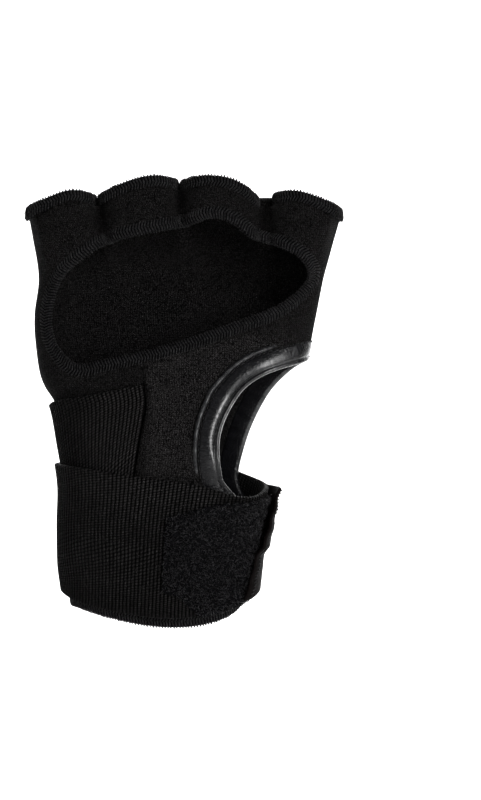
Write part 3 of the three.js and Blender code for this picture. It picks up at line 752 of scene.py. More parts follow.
def stitches_tree():
    """Threads laid across a run. Each is a bent tube, set on the run's own two directions."""
    sizes = {
        "Run": GEOMETRY,
        "Spacing": 0.001,
        "Thread Radius": 0.00025,
        **{label: (0.0, 0.0, 0.0) for label in THREAD_ENDS},
        "Bends": 6,
        "Unevenness": 0.1,
        "Seed": 1,
        "Finish": FINISH,
    }
    tree, add, given, end = new_group(
        "Stitches along a run", "GeometryNodeTree", sizes, {"Threads": GEOMETRY}
    )
    line = add("GeometryNodeMeshToCurve", {"Mesh": given["Run"]})
    spacing = {"Curve": line, "Length": given["Spacing"]}
    line = add("GeometryNodeResampleCurve", spacing, mode="LENGTH")
    ends = [given[label] for label in THREAD_ENDS]
    thread = thread_tube(add, given["Bends"], ends, 5, given["Thread Radius"], True)
    axes = {
        "Primary Axis": kept(add, "outward", "FLOAT_VECTOR"),
        "Secondary Axis": kept(add, "away", "FLOAT_VECTOR"),
    }
    turned = add("FunctionNodeAxesToRotation", axes, primary_axis="Z", secondary_axis="X")
    uneven, seed = given["Unevenness"], given["Seed"]
    size = random_number(add, 1.0 - uneven, uneven + 1.0, seed)
    laid = {"Points": line, "Instance": thread, "Rotation": turned, "Scale": size}
    laid = add("GeometryNodeInstanceOnPoints", laid)
    lean = random_number(add, uneven * -1.0, uneven, seed + 7.0)
    lean = add("ShaderNodeCombineXYZ", {"Z": lean})
    laid = {"Instances": laid, "Rotation": lean, "Local Space": True}
    end_with(add, add("GeometryNodeRotateInstances", laid), given["Finish"], end)
    return tree


def pile_tree():
    """Small loops of thread that stand on a cloth, turned and tilted every way."""
    sizes = {
        "Cloth": GEOMETRY,
        "Loops Per Square Metre": 4.0e6,
        "Thread Radius": 0.0001,
        "Loop Width": 0.0009,
        "Loop Height": 0.001,
        "Tilt": 0.9,
        "Seed": 3,
        "Finish": FINISH,
    }
    tree, add, given, end = new_group(
        "Loop pile", "GeometryNodeTree", sizes, {"Pile": GEOMETRY}
    )
    seed, tilt, wide = given["Seed"], given["Tilt"], given["Loop Width"]
    cloth = {"Mesh": given["Cloth"], "Density": given["Loops Per Square Metre"], "Seed": seed}
    spread = add("GeometryNodeDistributePointsOnFaces", cloth, distribute_method="RANDOM")
    top = given["Loop Height"] * 1.33
    ends = [
        add("ShaderNodeCombineXYZ", {"X": x, "Y": y, "Z": z})
        for x, y, z in (
            (wide * -0.16, 0.0, 0.0),
            (wide * -0.95, 0.0, top),
            (wide, wide * 0.3, top),
            (wide * 0.16, 0.0, 0.0),
        )
    ]
    loop = thread_tube(add, 6, ends, 3, given["Thread Radius"], False)
    lean = {
        "X": random_number(add, tilt * -1.0, tilt, seed + 11.0),
        "Y": random_number(add, tilt * -1.0, tilt, seed + 12.0),
        "Z": random_number(add, 0.0, 2 * math.pi, seed + 13.0),
    }
    lean = add("ShaderNodeCombineXYZ", lean)
    lean = add("FunctionNodeEulerToRotation", {"Euler": lean})
    turned = {"Rotation": spread["Rotation"], "Rotate By": lean}
    turned = add("FunctionNodeRotateRotation", turned, rotation_space="LOCAL")
    size = random_number(add, 0.7, 1.25, seed + 14.0)
    laid = {"Points": spread["Points"], "Instance": loop, "Rotation": turned, "Scale": size}
    end_with(add, add("GeometryNodeInstanceOnPoints", laid), given["Finish"], end)
    return tree


def ribs_tree():
    """Raised ribs across a strap, from the length along it that each of its points keeps."""
    sizes = {
        "Strap": GEOMETRY,
        "Rib Pitch": RIB_PITCH * MM,
        "Rib Height": 0.0004,
        "Fullness": 0.7,
        "Finish": FINISH,
    }
    tree, add, given, end = new_group(
        "Ribs across a strap", "GeometryNodeTree", sizes, {"Ribbed": GEOMETRY}
    )
    full = (kept(add, "run_length") / given["Rib Pitch"]).humps() ** given["Fullness"]
    height = full * kept(add, "outer_face") * given["Rib Height"]
    outward = {0: kept(add, "outward", "FLOAT_VECTOR"), "Scale": height}
    offset = add("ShaderNodeVectorMath", outward, operation="SCALE")
    raised = add("GeometryNodeSetPosition", {"Geometry": given["Strap"], "Offset": offset})
    end_with(add, raised, given["Finish"], end)
    return tree


def grown(name, base, tree, sizes):
    """A plain mesh piece of what a node tree makes from a base mesh, which goes."""
    modifier = base.modifiers.new("grown", "NODES")
    modifier.node_group = tree
    sockets = {
        item.name: item.identifier
        for item in tree.interface.items_tree
        if item.item_type == "SOCKET" and item.in_out == "INPUT"
    }
    for label, value in sizes.items():
        modifier[sockets[label]] = value
    bpy.context.view_layer.update()
    depsgraph = bpy.context.evaluated_depsgraph_get()
    mesh = bpy.data.meshes.new_from_object(
        base.evaluated_get(depsgraph), preserve_all_data_layers=True, depsgraph=depsgraph
    )
    bpy.data.objects.remove(base)
    mesh.name = name
    return placed(name, mesh)


def rail(points, outward, away, closed=True):
    """A line of points that stitches are set along."""
    count = len(points)
    mesh = bpy.data.meshes.new("rail")
    edges = [(i, (i + 1) % count) for i in range(count if closed else count - 1)]
    mesh.from_pydata((points * MM).tolist(), edges, [])
    keep_vectors(mesh, "outward", outward)
    keep_vectors(mesh, "away", away)
    return placed("rail", mesh)


def joined(name, parts):
    """Several meshes as one piece."""
    meshes = [part.data for part in parts]
    bpy.ops.object.select_all(action="DESELECT")
    for part in parts:
        part.select_set(True)
    bpy.context.view_layer.objects.active = parts[0]
    bpy.ops.object.join()
    made = bpy.context.view_layer.objects.active
    made.name = made.data.name = name
    for mesh in meshes[1:]:
        if mesh.users == 0:
            bpy.data.meshes.remove(mesh)
    return made


def noise(add, place, scale, detail, **more):
    return add("ShaderNodeTexNoise", {"Vector": place, "Scale": scale, "Detail": detail, **more})


def spread_between(add, value, low, high, **settings):
    """A value that goes from 0 at low to 1 at high."""
    return add("ShaderNodeMapRange", {0: value, 1: low, 2: high, 3: 0.0, 4: 1.0}, **settings)


def mixed(add, share, first, second):
    colours = {"Factor": share, 6: first, 7: second}
    return add("ShaderNodeMix", colours, 2, data_type="RGBA")


def end_relief(add, end, height, low, high):
    """A relief's two outputs: its height, and where it stands up out of its gaps."""
    gaps = spread_between(add, height, low, high, interpolation_type="SMOOTHSTEP")
    connect(end, {"Height": height, "Gaps": gaps})


def knit_group():
    """Fine knit: columns of small slanted stitches, uneven as worn stretch cloth is."""
    sizes = {
        "Place": VECTOR,
        "Column Pitch": 0.8,
        "Row Pitch": 0.62,
        "Slant": 0.5,
        "Unevenness": 0.3,
    }
    tree, add, given, end = new_group(
        "Fine knit", "ShaderNodeTree", sizes, {"Height": NUMBER, "Gaps": NUMBER}
    )
    place, uneven = given["Place"], given["Unevenness"]
    drift = (noise(add, place, 1.3, 2.0) - 0.5) * uneven
    split = add("ShaderNodeSeparateXYZ", {0: place})
    side = (split[0] / given["Column Pitch"] + drift).humps()
    stitch = (split[1] / given["Row Pitch"] + drift + side * given["Slant"]).humps()
    height = side**0.6 * stitch**0.7 + noise(add, place, 4.0, 3.0) * uneven
    end_relief(add, end, height, 0.2, 0.8)
    return tree


def chain_group():
    """Knitted ribs: each rib is a chain of small slanted links, with a gap between ribs where the
    finish paints shade.
    """
    sizes = {
        "Place": VECTOR,
        "Rib Pitch": RIB_PITCH,
        "Link Pitch": 0.92,
        "Slant": 0.55,
        "Stagger": 0.41,
        "Unevenness": 0.4,
    }
    tree, add, given, end = new_group(
        "Rib chains", "ShaderNodeTree", sizes, {"Height": NUMBER, "Gaps": NUMBER}
    )
    place, uneven = given["Place"], given["Unevenness"]
    split = add("ShaderNodeSeparateXYZ", {0: place})
    u = split[0] / given["Rib Pitch"]
    v = split[1] / given["Link Pitch"] + (noise(add, place, 0.5, 2.0) - 0.5) * uneven
    v = v + u.maths("FRACT", u) * given["Slant"] + u.maths("FLOOR", u) * given["Stagger"]
    height = v.humps() ** 0.7 * u.humps() ** 0.9 + noise(add, place, 3.0, 3.0) * uneven
    end_relief(add, end, height, 0.35, 1.05)
    return tree


def grain_group():
    """Leather grain: fine pores and longer shallow creases."""
    sizes = {"Place": VECTOR, "Pore Size": 0.5, "Crease Size": 4.0, "Crease Depth": 0.5}
    tree, add, given, end = new_group(
        "Leather grain", "ShaderNodeTree", sizes, {"Height": NUMBER, "Shine": NUMBER}
    )
    pores = {"Vector": given["Place"], "Scale": 1.0 / given["Pore Size"]}
    pores = add("ShaderNodeTexVoronoi", pores, feature="SMOOTH_F1")
    drawn = {"Vector": given["Place"], "Rotation": (0, 0, 0.5), "Scale": (1.0, 0.3, 1.0)}
    drawn = add("ShaderNodeMapping", drawn)
    creases = noise(add, drawn, 1.0 / given["Crease Size"], 4.0, Distortion=0.6)
    height = pores + abs(creases - 0.5) ** 0.5 * given["Crease Depth"]
    connect(end, {"Height": height, "Shine": spread_between(add, creases, 0.3, 0.7)})
    return tree


def colour_and_painted_light_group():
    """Colour as it is in use, with painted light and shade: Colour in a relief's gaps, darker as
    painted shade, and Raised Colour where it stands up; Paleness, which carries painted light and
    shade; uneven dye; and a few specks of lint.
    """
    sizes = {
        "Place": VECTOR,
        "Colour": (0.02, 0.02, 0.02, 1),
        "Raised Colour": (0.04, 0.04, 0.04, 1),
        "Raised": 0.5,
        "Dye Unevenness": 0.3,
        "Paleness": 1.0,
        "Mottle": 0.0,
        "Lint": 0.3,
    }
    tree, add, given, end = new_group(
        "Colour with painted light", "ShaderNodeTree", sizes, {"Colour": COLOUR, "Roughness Change": NUMBER}
    )
    place, pale = given["Place"], given["Paleness"]
    colour = mixed(add, given["Raised"], given["Colour"], given["Raised Colour"])
    shift = (noise(add, place, 0.12, 5.0) - 0.5) * given["Dye Unevenness"]
    spot = (noise(add, place, 2.3, 1.0) - 0.5) * given["Mottle"] * (pale * 5.0)
    value = pale + shift * 2.0 + spot
    value = value.maths("MAXIMUM", value, 0.05)
    colour = add("ShaderNodeHueSaturation", {"Color": colour, "Value": value})
    specks = spread_between(add, noise(add, place, 1.1, 6.0), 0.7, 0.78)
    dusty = mixed(add, specks * given["Lint"], colour, (0.05, 0.047, 0.045, 1))
    connect(end, {"Colour": dusty, "Roughness Change": shift * 0.4})
    return tree


def millimetres(add, source):
    """Places in millimetres: the flat cloth's own, or the object's."""
    if source == "flat":
        return add("ShaderNodeUVMap", uv_map="flat_cloth")
    place = add("ShaderNodeTexCoord", output="Object")
    return add("ShaderNodeVectorMath", {0: place, "Scale": 1 / MM}, operation="SCALE")


def finish(name, source, relief, sizes, colour, raised, bump, roughness, specular, **looks):
    """A finish: a relief group for its bump, colour with painted light and shade, and the shader's
    own values. colour shows in the relief's gaps, darker as painted shade, and raised where the
    relief stands up or shines. bump is a strength and a depth. polish is how far a coat shines
    where the piece keeps it polished."""
    made = bpy.data.materials.new(name)
    made.use_nodes = True
    add = partial(node, made.node_tree)
    sizes = {"Place": millimetres(add, source), **sizes}
    texture = add("ShaderNodeGroup", sizes, node_tree=GROUPS[relief])
    tone_and_painted_light = {
        "Place": millimetres(add, "object"),
        "Colour": (*colour, 1),
        "Raised Colour": (*raised, 1),
        "Raised": texture[1],
        "Mottle": looks.get("mottle", 0.0),
        "Lint": looks.get("lint", 0.2),
    }
    # Paleness from the painted light and shade kept on the piece.
    if looks.get("rubbed"):
        tone_and_painted_light["Paleness"] = add("ShaderNodeAttribute", output="Fac", attribute_name="rubbed") + 1.0
    worn = add("ShaderNodeGroup", tone_and_painted_light, node_tree=GROUPS["worn"])
    relief = {"Height": texture["Height"], "Strength": bump[0], "Distance": bump[1]}
    given = {
        "Base Color": worn["Colour"],
        "Roughness": worn["Roughness Change"] + roughness,
        "Normal": add("ShaderNodeBump", relief),
        "Specular IOR Level": specular,
    }
    if "polish" in looks:
        polished = add("ShaderNodeAttribute", output="Fac", attribute_name="polished")
        given["Coat Weight"] = polished * ((texture[1] * 1.1 + 0.3) * looks["polish"])
        given["Coat Roughness"] = looks["coat_roughness"]
    connect(made.node_tree.nodes["Principled BSDF"], given)
    return made


def make_finishes():
    # Each colour shows in the relief's gaps, darker as painted shade, and raised where it stands
    # up; for the leathers raised is where the grain shines, a painted sheen. The cloth and the
    # elastic also take painted light and shade from their pieces.
    even = {"Column Pitch": 0.5, "Row Pitch": 0.5, "Unevenness": 0.5}
    dark = (0.0002, 0.0002, 0.0003)
    return {
        "cloth": finish(
            "Stretch knit", "flat", "knit",
            {"Column Pitch": 0.8, "Row Pitch": 0.64, "Unevenness": 0.45},
            colour=(0.0004, 0.0004, 0.0004),
            raised=(0.0085, 0.0081, 0.0081),
            bump=(0.9, 0.0003),
            roughness=0.8,
            specular=0.03,
            mottle=1.5,
            lint=0.1,
            rubbed=True,
        ),
        "thread": finish(
            "Overlock thread", "object", "knit",
            {"Column Pitch": 0.45, "Row Pitch": 0.3, "Unevenness": 0.4},
            colour=dark,
            raised=(0.018, 0.0176, 0.0181),
            bump=(0.4, 0.00015),
            roughness=0.5,
            specular=0.06,
            mottle=0.9,
            lint=0.1,
        ),
        "elastic": finish(
            "Ribbed elastic", "flat", "chain", {},
            colour=(0.0003, 0.0003, 0.0003),
            raised=(0.0165, 0.0158, 0.0158),
            bump=(1.0, 0.0005),
            roughness=0.6,
            specular=0.03,
            mottle=0.6,
            lint=0.1,
            rubbed=True,
        ),
        "pile": finish(
            "Loop pile", "object", "knit", even,
            colour=(0.0012, 0.0012, 0.0015),
            raised=(0.0195, 0.0193, 0.0204),
            bump=(0.3, 0.0001),
            roughness=0.4,
            specular=0.05,
            mottle=2.2,
            lint=0.1,
        ),
        # The ground under the hem threads and the pile is painted darker than the cloth, as the
        # shade under them.
        "ground": finish(
            "Dark ground", "object", "knit", even,
            colour=dark,
            raised=(0.0025, 0.0025, 0.003),
            bump=(0.3, 0.0001),
            roughness=0.7,
            specular=0.03,
            mottle=0.8,
            lint=0.0,
        ),
        "leather": finish(
            "Grained leather", "flat", "grain",
            {"Pore Size": 0.55, "Crease Size": 1.6, "Crease Depth": 2.0},
            colour=(0.003, 0.003, 0.0036),
            raised=(0.006, 0.006, 0.0072),
            bump=(0.5, 0.0003),
            roughness=0.25,
            specular=0.24,
            lint=0.0,
            polish=0.85,
            coat_roughness=0.26,
        ),
        "piping": finish(
            "Piping leather", "flat", "grain",
            {"Pore Size": 0.6, "Crease Size": 1.4, "Crease Depth": 1.6},
            colour=(0.008, 0.008, 0.009),
            raised=(0.016, 0.016, 0.018),
            bump=(1.0, 0.0004),
            roughness=0.34,
            specular=0.25,
            lint=0.0,
            polish=0.8,
            coat_roughness=0.3,
        ),
        "tape": finish(
            "Smooth woven tape", "flat", "knit",
            {"Column Pitch": 0.5, "Row Pitch": 0.35, "Slant": 0.1, "Unevenness": 0.3},
            colour=(0.002, 0.0015, 0.0015),
            raised=(0.0052, 0.0041, 0.0041),
            bump=(0.35, 0.00015),
            roughness=0.55,
            specular=0.01,
        ),
    }


# Where a thread starts and ends and the handles it bends by: away from the edge, along it, out.
LOOP_ROUND_EDGE = ((0.35, 0.55, 0.95), (-3.3, -0.35, 1.15), (-3.1, -0.35, -1.1), (0.3, 0.4, -0.9))
SLANT_BEHIND_IT = ((2.1, -0.5, 0.62), (1.5, -0.2, 1.12), (0.8, 0.25, 1.15), (-0.2, 0.55, 0.9))
RUNNING_STITCH = ((0, -0.75, -0.1), (0, -0.45, 0.3), (0, 0.45, 0.3), (0, 0.75, -0.1))
TAB_STITCH = ((-0.7, -0.2, 0), (-0.3, -0.1, 0.35), (0.3, 0.1, 0.35), (0.8, 0.2, -0.2))
SEAM_STITCH = ((-1.5, -0.25, -0.1), (-0.8, -0.15, 0.4), (0.8, 0.15, 0.4), (1.5, 0.25, -0.1))


def stitches(name, line, shape, spacing, radius, uneven, seed, bends=6):
    sizes = {
        "Spacing": spacing * MM,
        "Thread Radius": radius * MM,
        "Bends": bends,
        "Unevenness": uneven,
        "Seed": seed,
        "Finish": FINISHES["thread"],
    }
    for label, place in zip(THREAD_ENDS, shape):
        sizes[label] = [value * MM for value in place]
    return grown(name, line, TREES["stitches"], sizes)


def give(made, slot, *nodes):
    """The piece rides on the glove and stands for its CAD nodes. Its slot is not used."""
    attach(made, "root")
    if nodes:
        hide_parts(*nodes)


def make_hem(name, points, outward, away, seed):
    """An overlocked edge: the turned cloth, thread loops round it, and slanted ones behind."""
    turn = turns(14)
    wide = HEM / 2 * signed_power(np.cos(turn), 0.6)
    thick = HEM_HALF * signed_power(np.sin(turn), 0.45)
    rows = swept(points, away, outward, wide, thick)
    faces = ring_faces(len(rows), len(turn))
    give(piece(f"{name}_band", rows, faces, FINISHES["ground"]), "thread", name)
    threads = [
        stitches("thread", rail(points, outward, away), *row)
        for row in (
            (LOOP_ROUND_EDGE, 1.0, 0.26, 0.05, seed, 8),
            (SLANT_BEHIND_IT, 1.0, 0.24, 0.05, seed + 1, 5),
        )
    ]
    give(joined(f"{name}_threads", threads), "thread")


def make_cloth():
    thumb_edge = np.stack(thumb_run(200).beside(FACING - UNDER_HEM), 1)
    cut = np.stack(cut_out_run(240).beside(HEM - UNDER_HEM), 1)
    ends = (-SEAM - PALM_LAP, 180 + SEAM + PALM_LAP)
    palm = panel("palm_cloth", *ends, [cut, thumb_edge], 0.0, CLOTH, FINISHES["cloth"])
    give(palm, "cloth", "palm_panel")
    ends = (180 + SEAM + SEAM_GAP - BACK_LAP, 360 - SEAM - SEAM_GAP + BACK_LAP)
    opening = thumb_edge + [360, 0]
    back = panel("back_cloth", *ends, [opening], BACK_PROUD, BACK_CLOTH, FINISHES["cloth"])
    give(back, "cloth", "back_panel")


def loop_hem_frames(loop, count):
    """Middle line of a loop's hem: an upright oval whose top slants with the loop."""
    turn = turns(count)
    left, right = loop_sides(loop, LOOP_TOP + 1)
    left, right = max(left, HEMS_LEFT), min(right, HEMS_RIGHT)
    wide = (right - left - GAP - HEM_THICK) / 2 + 0.5
    deep = loop[5] - HEM_THICK / 2 + 0.5
    x = (left + right) / 2 + wide * signed_power(np.cos(turn), 0.85)
    top = loop_top(loop, (x - left) / (right - left)) - HEM / 2
    points = np.stack([x, -deep * signed_power(np.sin(turn), 0.85), top], 1)
    ahead = np.roll(points, -1, 0) - np.roll(points, 1, 0)
    outward = unit(np.cross(ahead * [1, 1, 0], [0, 0, 1.0]))
    outward[(outward * (points - points.mean(0))).sum(1) < 0] *= -1
    away = unit(np.cross(outward, ahead))
    away[away[:, 2] > 0] *= -1
    return points, outward, away


def make_hems():
    make_hem("palm_hem", *cut_out_run(300).frames(HEM / 2, HEM_SUNK), 11)
    for number, loop in enumerate(LOOPS):
        make_hem(f"loop_hem_{loop[0]}", *loop_hem_frames(loop, 150), 21 + 2 * number)


def make_cuff_hem():
    angle = np.arange(240) / 240 * 360
    edge = cuff_edge(angle)
    middle = edge + HEM / 2
    away = unit(lifted(angle, edge + HEM, 0) - lifted(angle, edge, 0))
    make_hem("cuff_hem", lifted(angle, middle, -1.2), sheet_normal(angle, middle), away, 41)


# Between which loops, its top, its ends on the palm side and at the back, width, extra reach
GUSSETS = [
    (1, 133.4, 127.5, 129.0, 3.0, 0.4),
    (2, 141.4, 133.0, 132.5, 3.8, 0.6),
    (3, 139.3, 127.5, 129.5, 5.2, -0.2),
]
GUSSET_HALF = 0.6


def make_gusset(between, top, palm_end, back_end, width, extra):
    """A gusset closes a cleft between two loops: a folded strip, like a saddle."""
    left, right = LOOPS[between - 1], LOOPS[between]

    def middle(z):
        return (loop_sides(left, z)[1] + loop_sides(right, z)[0]) / 2

    def reach(z, side):
        height = min(z, 131)
        cloth = HEM_THICK if side < 0 else BACK_CLOTH - BACK_PROUD
        angle = palm_angle(middle(height), height)
        return abs(sheet_point(-side * angle, height)[1]) - cloth - 2 * GAP + extra

    def leg(end, side):
        heights = [lerp(end, top - 1.9, share) for share in np.linspace(0, 1, 10)]
        return [(side * reach(z, side), z) for z in heights]

    line = leg(palm_end, -1)
    for t in np.radians(np.linspace(20, 160, 12)):
        half = reach(top, -1 if t < math.pi / 2 else 1)
        line.append((-math.cos(t) * half, top - 1.8 * (1 - math.sin(t))))
    line = np.array(line + leg(back_end, 1)[::-1])
    centre = np.stack([middle(line[:, 1]), line[:, 0], line[:, 1]], 1)
    side = np.tile([1.0, 0, 0], (len(centre), 1))
    out = unit(np.cross(side, unit(np.gradient(centre, axis=0))))
    out *= np.sign((out * (centre - [centre[:, 0].mean(), 0, 122])).sum(1))[:, None]
    turn = turns(12)
    wide = (width / 2 + 0.2) * signed_power(np.cos(turn), 0.6)
    thick = GUSSET_HALF * (signed_power(np.sin(turn), 0.6) - 1)
    rows = swept(centre, side, out, wide, thick)
    flat = np.stack(np.broadcast_arrays(wide[None, :], np.arange(len(line))[:, None] * 1.2), -1)
    name = f"web_gusset_{between}"
    faces = tube_faces(len(rows), len(turn))
    give(piece(f"{name}_cloth", rows, faces, FINISHES["cloth"], flat), "cloth", name)


def make_facing(run, pressed, length):
    """The leather ring, which swells between its stitch lines and turns up towards the hole at
    its top and just above the strap. It is polished along its inner half."""
    above = above_strap(run.angle, run.z)
    at_top, in_front = run.z > 70, run.angle > 30
    flatter = lerp(1.0, FLATTEST, ramp(np.abs(run.angle), 54, 36))
    top_push = TURN_UP_TOP * ramp(run.angle, 60, 42) * ramp(run.angle, -4, 24)
    low_push = TURN_UP_LOW * ramp(run.z, 57, 50) * ramp(run.z, 42.5, 47.5)
    pushed = np.where(at_top, top_push, np.where(in_front, low_push, 0.0))
    folds = FOLD_FINE * np.sin(run.z * 0.9 + run.angle * 0.21)
    folds = folds + FOLD_FINER * np.sin(run.z * 2.1 - run.angle * 0.4)
    rows = []
    for across, lift in FACING_SECTION:
        raised = (lift + folds) * pressed * flatter if lift > 0 else lift
        rows.append(run.point(across, raised + pushed * (1 - across / FACING)))
    rows = np.stack(rows, 1)
    across = np.array(FACING_SECTION)[None, :, 0]
    flat = np.stack(np.broadcast_arrays(length[:, None], across), -1)
    faces = ring_faces(*rows.shape[:2])
    facing = piece("thumb_facing_leather", rows, faces, FINISHES["leather"], flat)
    dull = np.maximum(ramp(above, 11, 4), TOP_DULL * ramp(run.angle, 40, 56) * at_top)
    keep_numbers(facing.data, "polished", ramp(across, 5.4, 3.0) * (1 - dull[:, None]))
    give(facing, "leather", "thumb_facing")


def make_piping(run, pressed, length, order):
    """The piping outside the facing. Its shine comes and goes along it."""
    turn = turns(12)
    by_side = ramp(np.abs(run.angle), 47, 32)
    sunk = lerp(PIPING_PROUD, PIPING_SUNK, np.maximum(by_side, (1 - pressed) / 0.8))
    across = PIPING_ACROSS + PIPING_RADIUS * np.cos(turn)
    height = PIPING_HEIGHT * np.sin(turn)
    tube = np.stack([run.point(a, sunk + h) for a, h in zip(across, height)], 1)[order]
    far = length[order]
    flat = np.stack(np.broadcast_arrays(far[:, None], turn[None, :]), -1)
    faces = tube_faces(*tube.shape[:2])
    piping = piece("thumb_piping_cord", tube, faces, FINISHES["piping"], flat)
    patchy = np.sin(1.7 * far + 1.5 * np.sin(0.6 * far)) + 0.6 * np.sin(0.83 * far + 2)
    polished = lerp(0.15, 1.0, ramp(patchy, -0.5, 0.7))
    keep_numbers(piping.data, "polished", np.repeat(polished, len(turn)))
    give(piping, "piping", "thumb_piping")


def make_thumb_trim():
    """The leather facing, the piping round it and its two stitch lines."""
    run = thumb_run(320)
    pressed = lerp(0.2, 1.0, ramp(above_strap(run.angle, run.z), 4, 15))
    length = travelled(run.point(3, 0))
    make_facing(run, pressed, length)
    shown = above_strap(*run.beside(FACING)) > -4
    start = int(np.argmax(shown & ~np.roll(shown, 1)))
    order = np.roll(np.arange(len(shown)), -start)
    order = order[shown[order]]
    make_piping(run, pressed, length, order)
    lines = []
    for across, lift in ((1.66, 0.1), (6.72, 0.2)):
        line = rail(*(part[order] for part in run.frames(across, lift)), closed=False)
        lines.append(stitches("line", line, RUNNING_STITCH, 2.1, 0.24, 0.08, 31))
    give(joined("thumb_facing_stitches", lines), "thread")


def make_strap():
    def place(u, v):
        turn = lerp(STRAP_START, STRAP_END, u) + STRAP_SKEW * (1 - v) * (1 - smooth(u * 6))
        share = np.where(v < 0.5, 1.2 * v * v + 0.4 * v, v)
        z = lerp(along(STRAP, "bottom", turn), along(STRAP, "top", turn), share)
        return turn, z, strap_lift(turn, z) + STRAP_THICK / 2

    middle = np.linspace(0, 1, 800)
    length = travelled(lifted(*place(middle, np.full(800, 0.6))))
    total = length[-1]
    ribs = int(total / RIB_PITCH)

    def by_length(u):
        return np.interp(u * total, length, middle)

    # Painted light and shade on the strap: darker in general, paler by its sewn end at the palm
    # seam, and paler on its front turn, most towards its top edge.
    def tone_and_painted_light(u, v):
        turn = lerp(STRAP_START, STRAP_END, by_length(u))
        front = ramp(turn, 400, 430) * ramp(turn, 530, 470)
        return -0.35 + 0.8 * ramp(turn, 152, 112) + front * (0.3 + 0.35 * ramp(v, 0.6, 0.9))

    base = strip(
        "strap",
        lambda u, v: place(by_length(u), v),
        (ribs * 6, 22),
        (total, STRAP_WIDTH),
        STRAP_THICK,
        0.6,
        FINISHES["elastic"],
        lambda u, v: (u * total, v * STRAP_WIDTH),
        tone_and_painted_light,
    )
    sizes = {"Rib Height": 0.00042, "Fullness": 0.75, "Finish": FINISHES["elastic"]}
    strap = grown("strap_elastic", base, TREES["ribs"], sizes)
    give(strap, "elastic", "elastic_strap")


def make_patch():
    first, last = PATCH["turn"][[0, -1]]

    def place(u, v):
        angle = lerp(first, last, u)
        z = lerp(along(PATCH, "bottom", angle), along(PATCH, "top", angle), v)
        uneven = 0.3 * np.sin(angle * 0.9) + 0.2 * np.sin(angle * 2.3 + z)
        z = z + uneven * np.where(v < 0.5, 1 - 2 * v, 2 * v - 1)
        lift = strap_lift(360 + angle, z) + STRAP_THICK + GAP + PATCH_THICK / 2 - 0.3
        return angle, z, lift

    ground = FINISHES["ground"]
    base = strip("loop_patch_base", place, (50, 40), PATCH_SIZE, PATCH_GROUND, 0.5, ground)
    give(base, "pile", "loop_patch")
    shares = (np.linspace(0.005, 0.995, count) for count in (60, 50))
    angle, z, lift = np.broadcast_arrays(*place(*np.meshgrid(*shares, indexing="ij")))
    faces = grid_faces(np.arange(angle.size).reshape(angle.shape))[:, ::-1].tolist()
    points = lifted(angle, z, lift + 0.35)
    ground = piece("ground", points, faces, FINISHES["pile"], closed=False)
    sizes = {
        "Loops Per Square Metre": 1.6e6,
        "Thread Radius": 0.000125,
        "Loop Width": 0.00135,
        "Loop Height": 0.0011,
        "Tilt": 1.0,
        "Seed": 5,
        "Finish": FINISHES["pile"],
    }
    give(grown("loop_patch_pile", ground, TREES["pile"], sizes), "pile")


def make_tab():
    low, high = TAB["z"][[0, -1]]

    def place(u, v):
        edge = along(TAB, "edge", lerp(low, high, v))
        angle = lerp(TAB_START, edge, u)
        rise = TAB_CORNER_RISE * (1 - smooth(angle / TAB_CORNER_TO))
        z = lerp(low + rise, high, v)
        bulge = along(TAB, "bulge", z) * ramp(angle, -40, 0)
        ripple = 0.25 * np.sin(z * 0.9 + 1.0) * ramp(u, 0.75, 0.95)
        return angle, z, TAB_LIFT + bulge + ripple + TAB_THICK / 2

    tab = strip("hook_tab_tape", place, (90, 46), TAB_SIZE, TAB_THICK, 0.6, FINISHES["tape"])
    give(tab, "tape", "hook_tab")
    v = np.linspace(0.03, 0.97, 120)
    (angle, z, lift), inner = (place(np.full(120, share), v) for share in (0.95, 0.93))
    points = lifted(angle, z, lift + TAB_THICK / 2)
    away = unit(points - lifted(inner[0], inner[1], inner[2] + TAB_THICK / 2))
    line = rail(points, sheet_normal(angle, z), away, closed=False)
    give(stitches("hook_tab_stitches", line, TAB_STITCH, 1.3, 0.2, 0.12, 51), "thread")


def make_side_seams():
    """Short threads across the two seams that join the palm's cloth to the back's."""
    parts = []
    for turn, low in ((180 + SEAM + SEAM_GAP / 2, 70.0), (-SEAM - SEAM_GAP / 2, 90.5)):
        z = np.linspace(low, float(cloth_top(np.array(turn))) - 1.0, 120)
        angle = np.full(120, turn)
        points = lifted(angle, z, 0)
        beside = unit(lifted(angle + 1, z, 0) - points)
        line = rail(points, sheet_normal(angle, z), beside, closed=False)
        parts.append(stitches("seam", line, SEAM_STITCH, 1.1, 0.2, 0.06, 61))
    give(joined("side_seam_stitches", parts), "thread")


# The fold cut across: how far from the seam, and how high on the cloth.
FOLD_ACROSS = np.array([0.0, 0.25, 0.7, 1.4, 2.4, 4.0, 6.0, 8.5, 11.0])
FOLD_HEIGHT = np.array([-0.2, 1.0, 1.45, 1.55, 1.4, 1.0, 0.55, 0.15, -0.3])


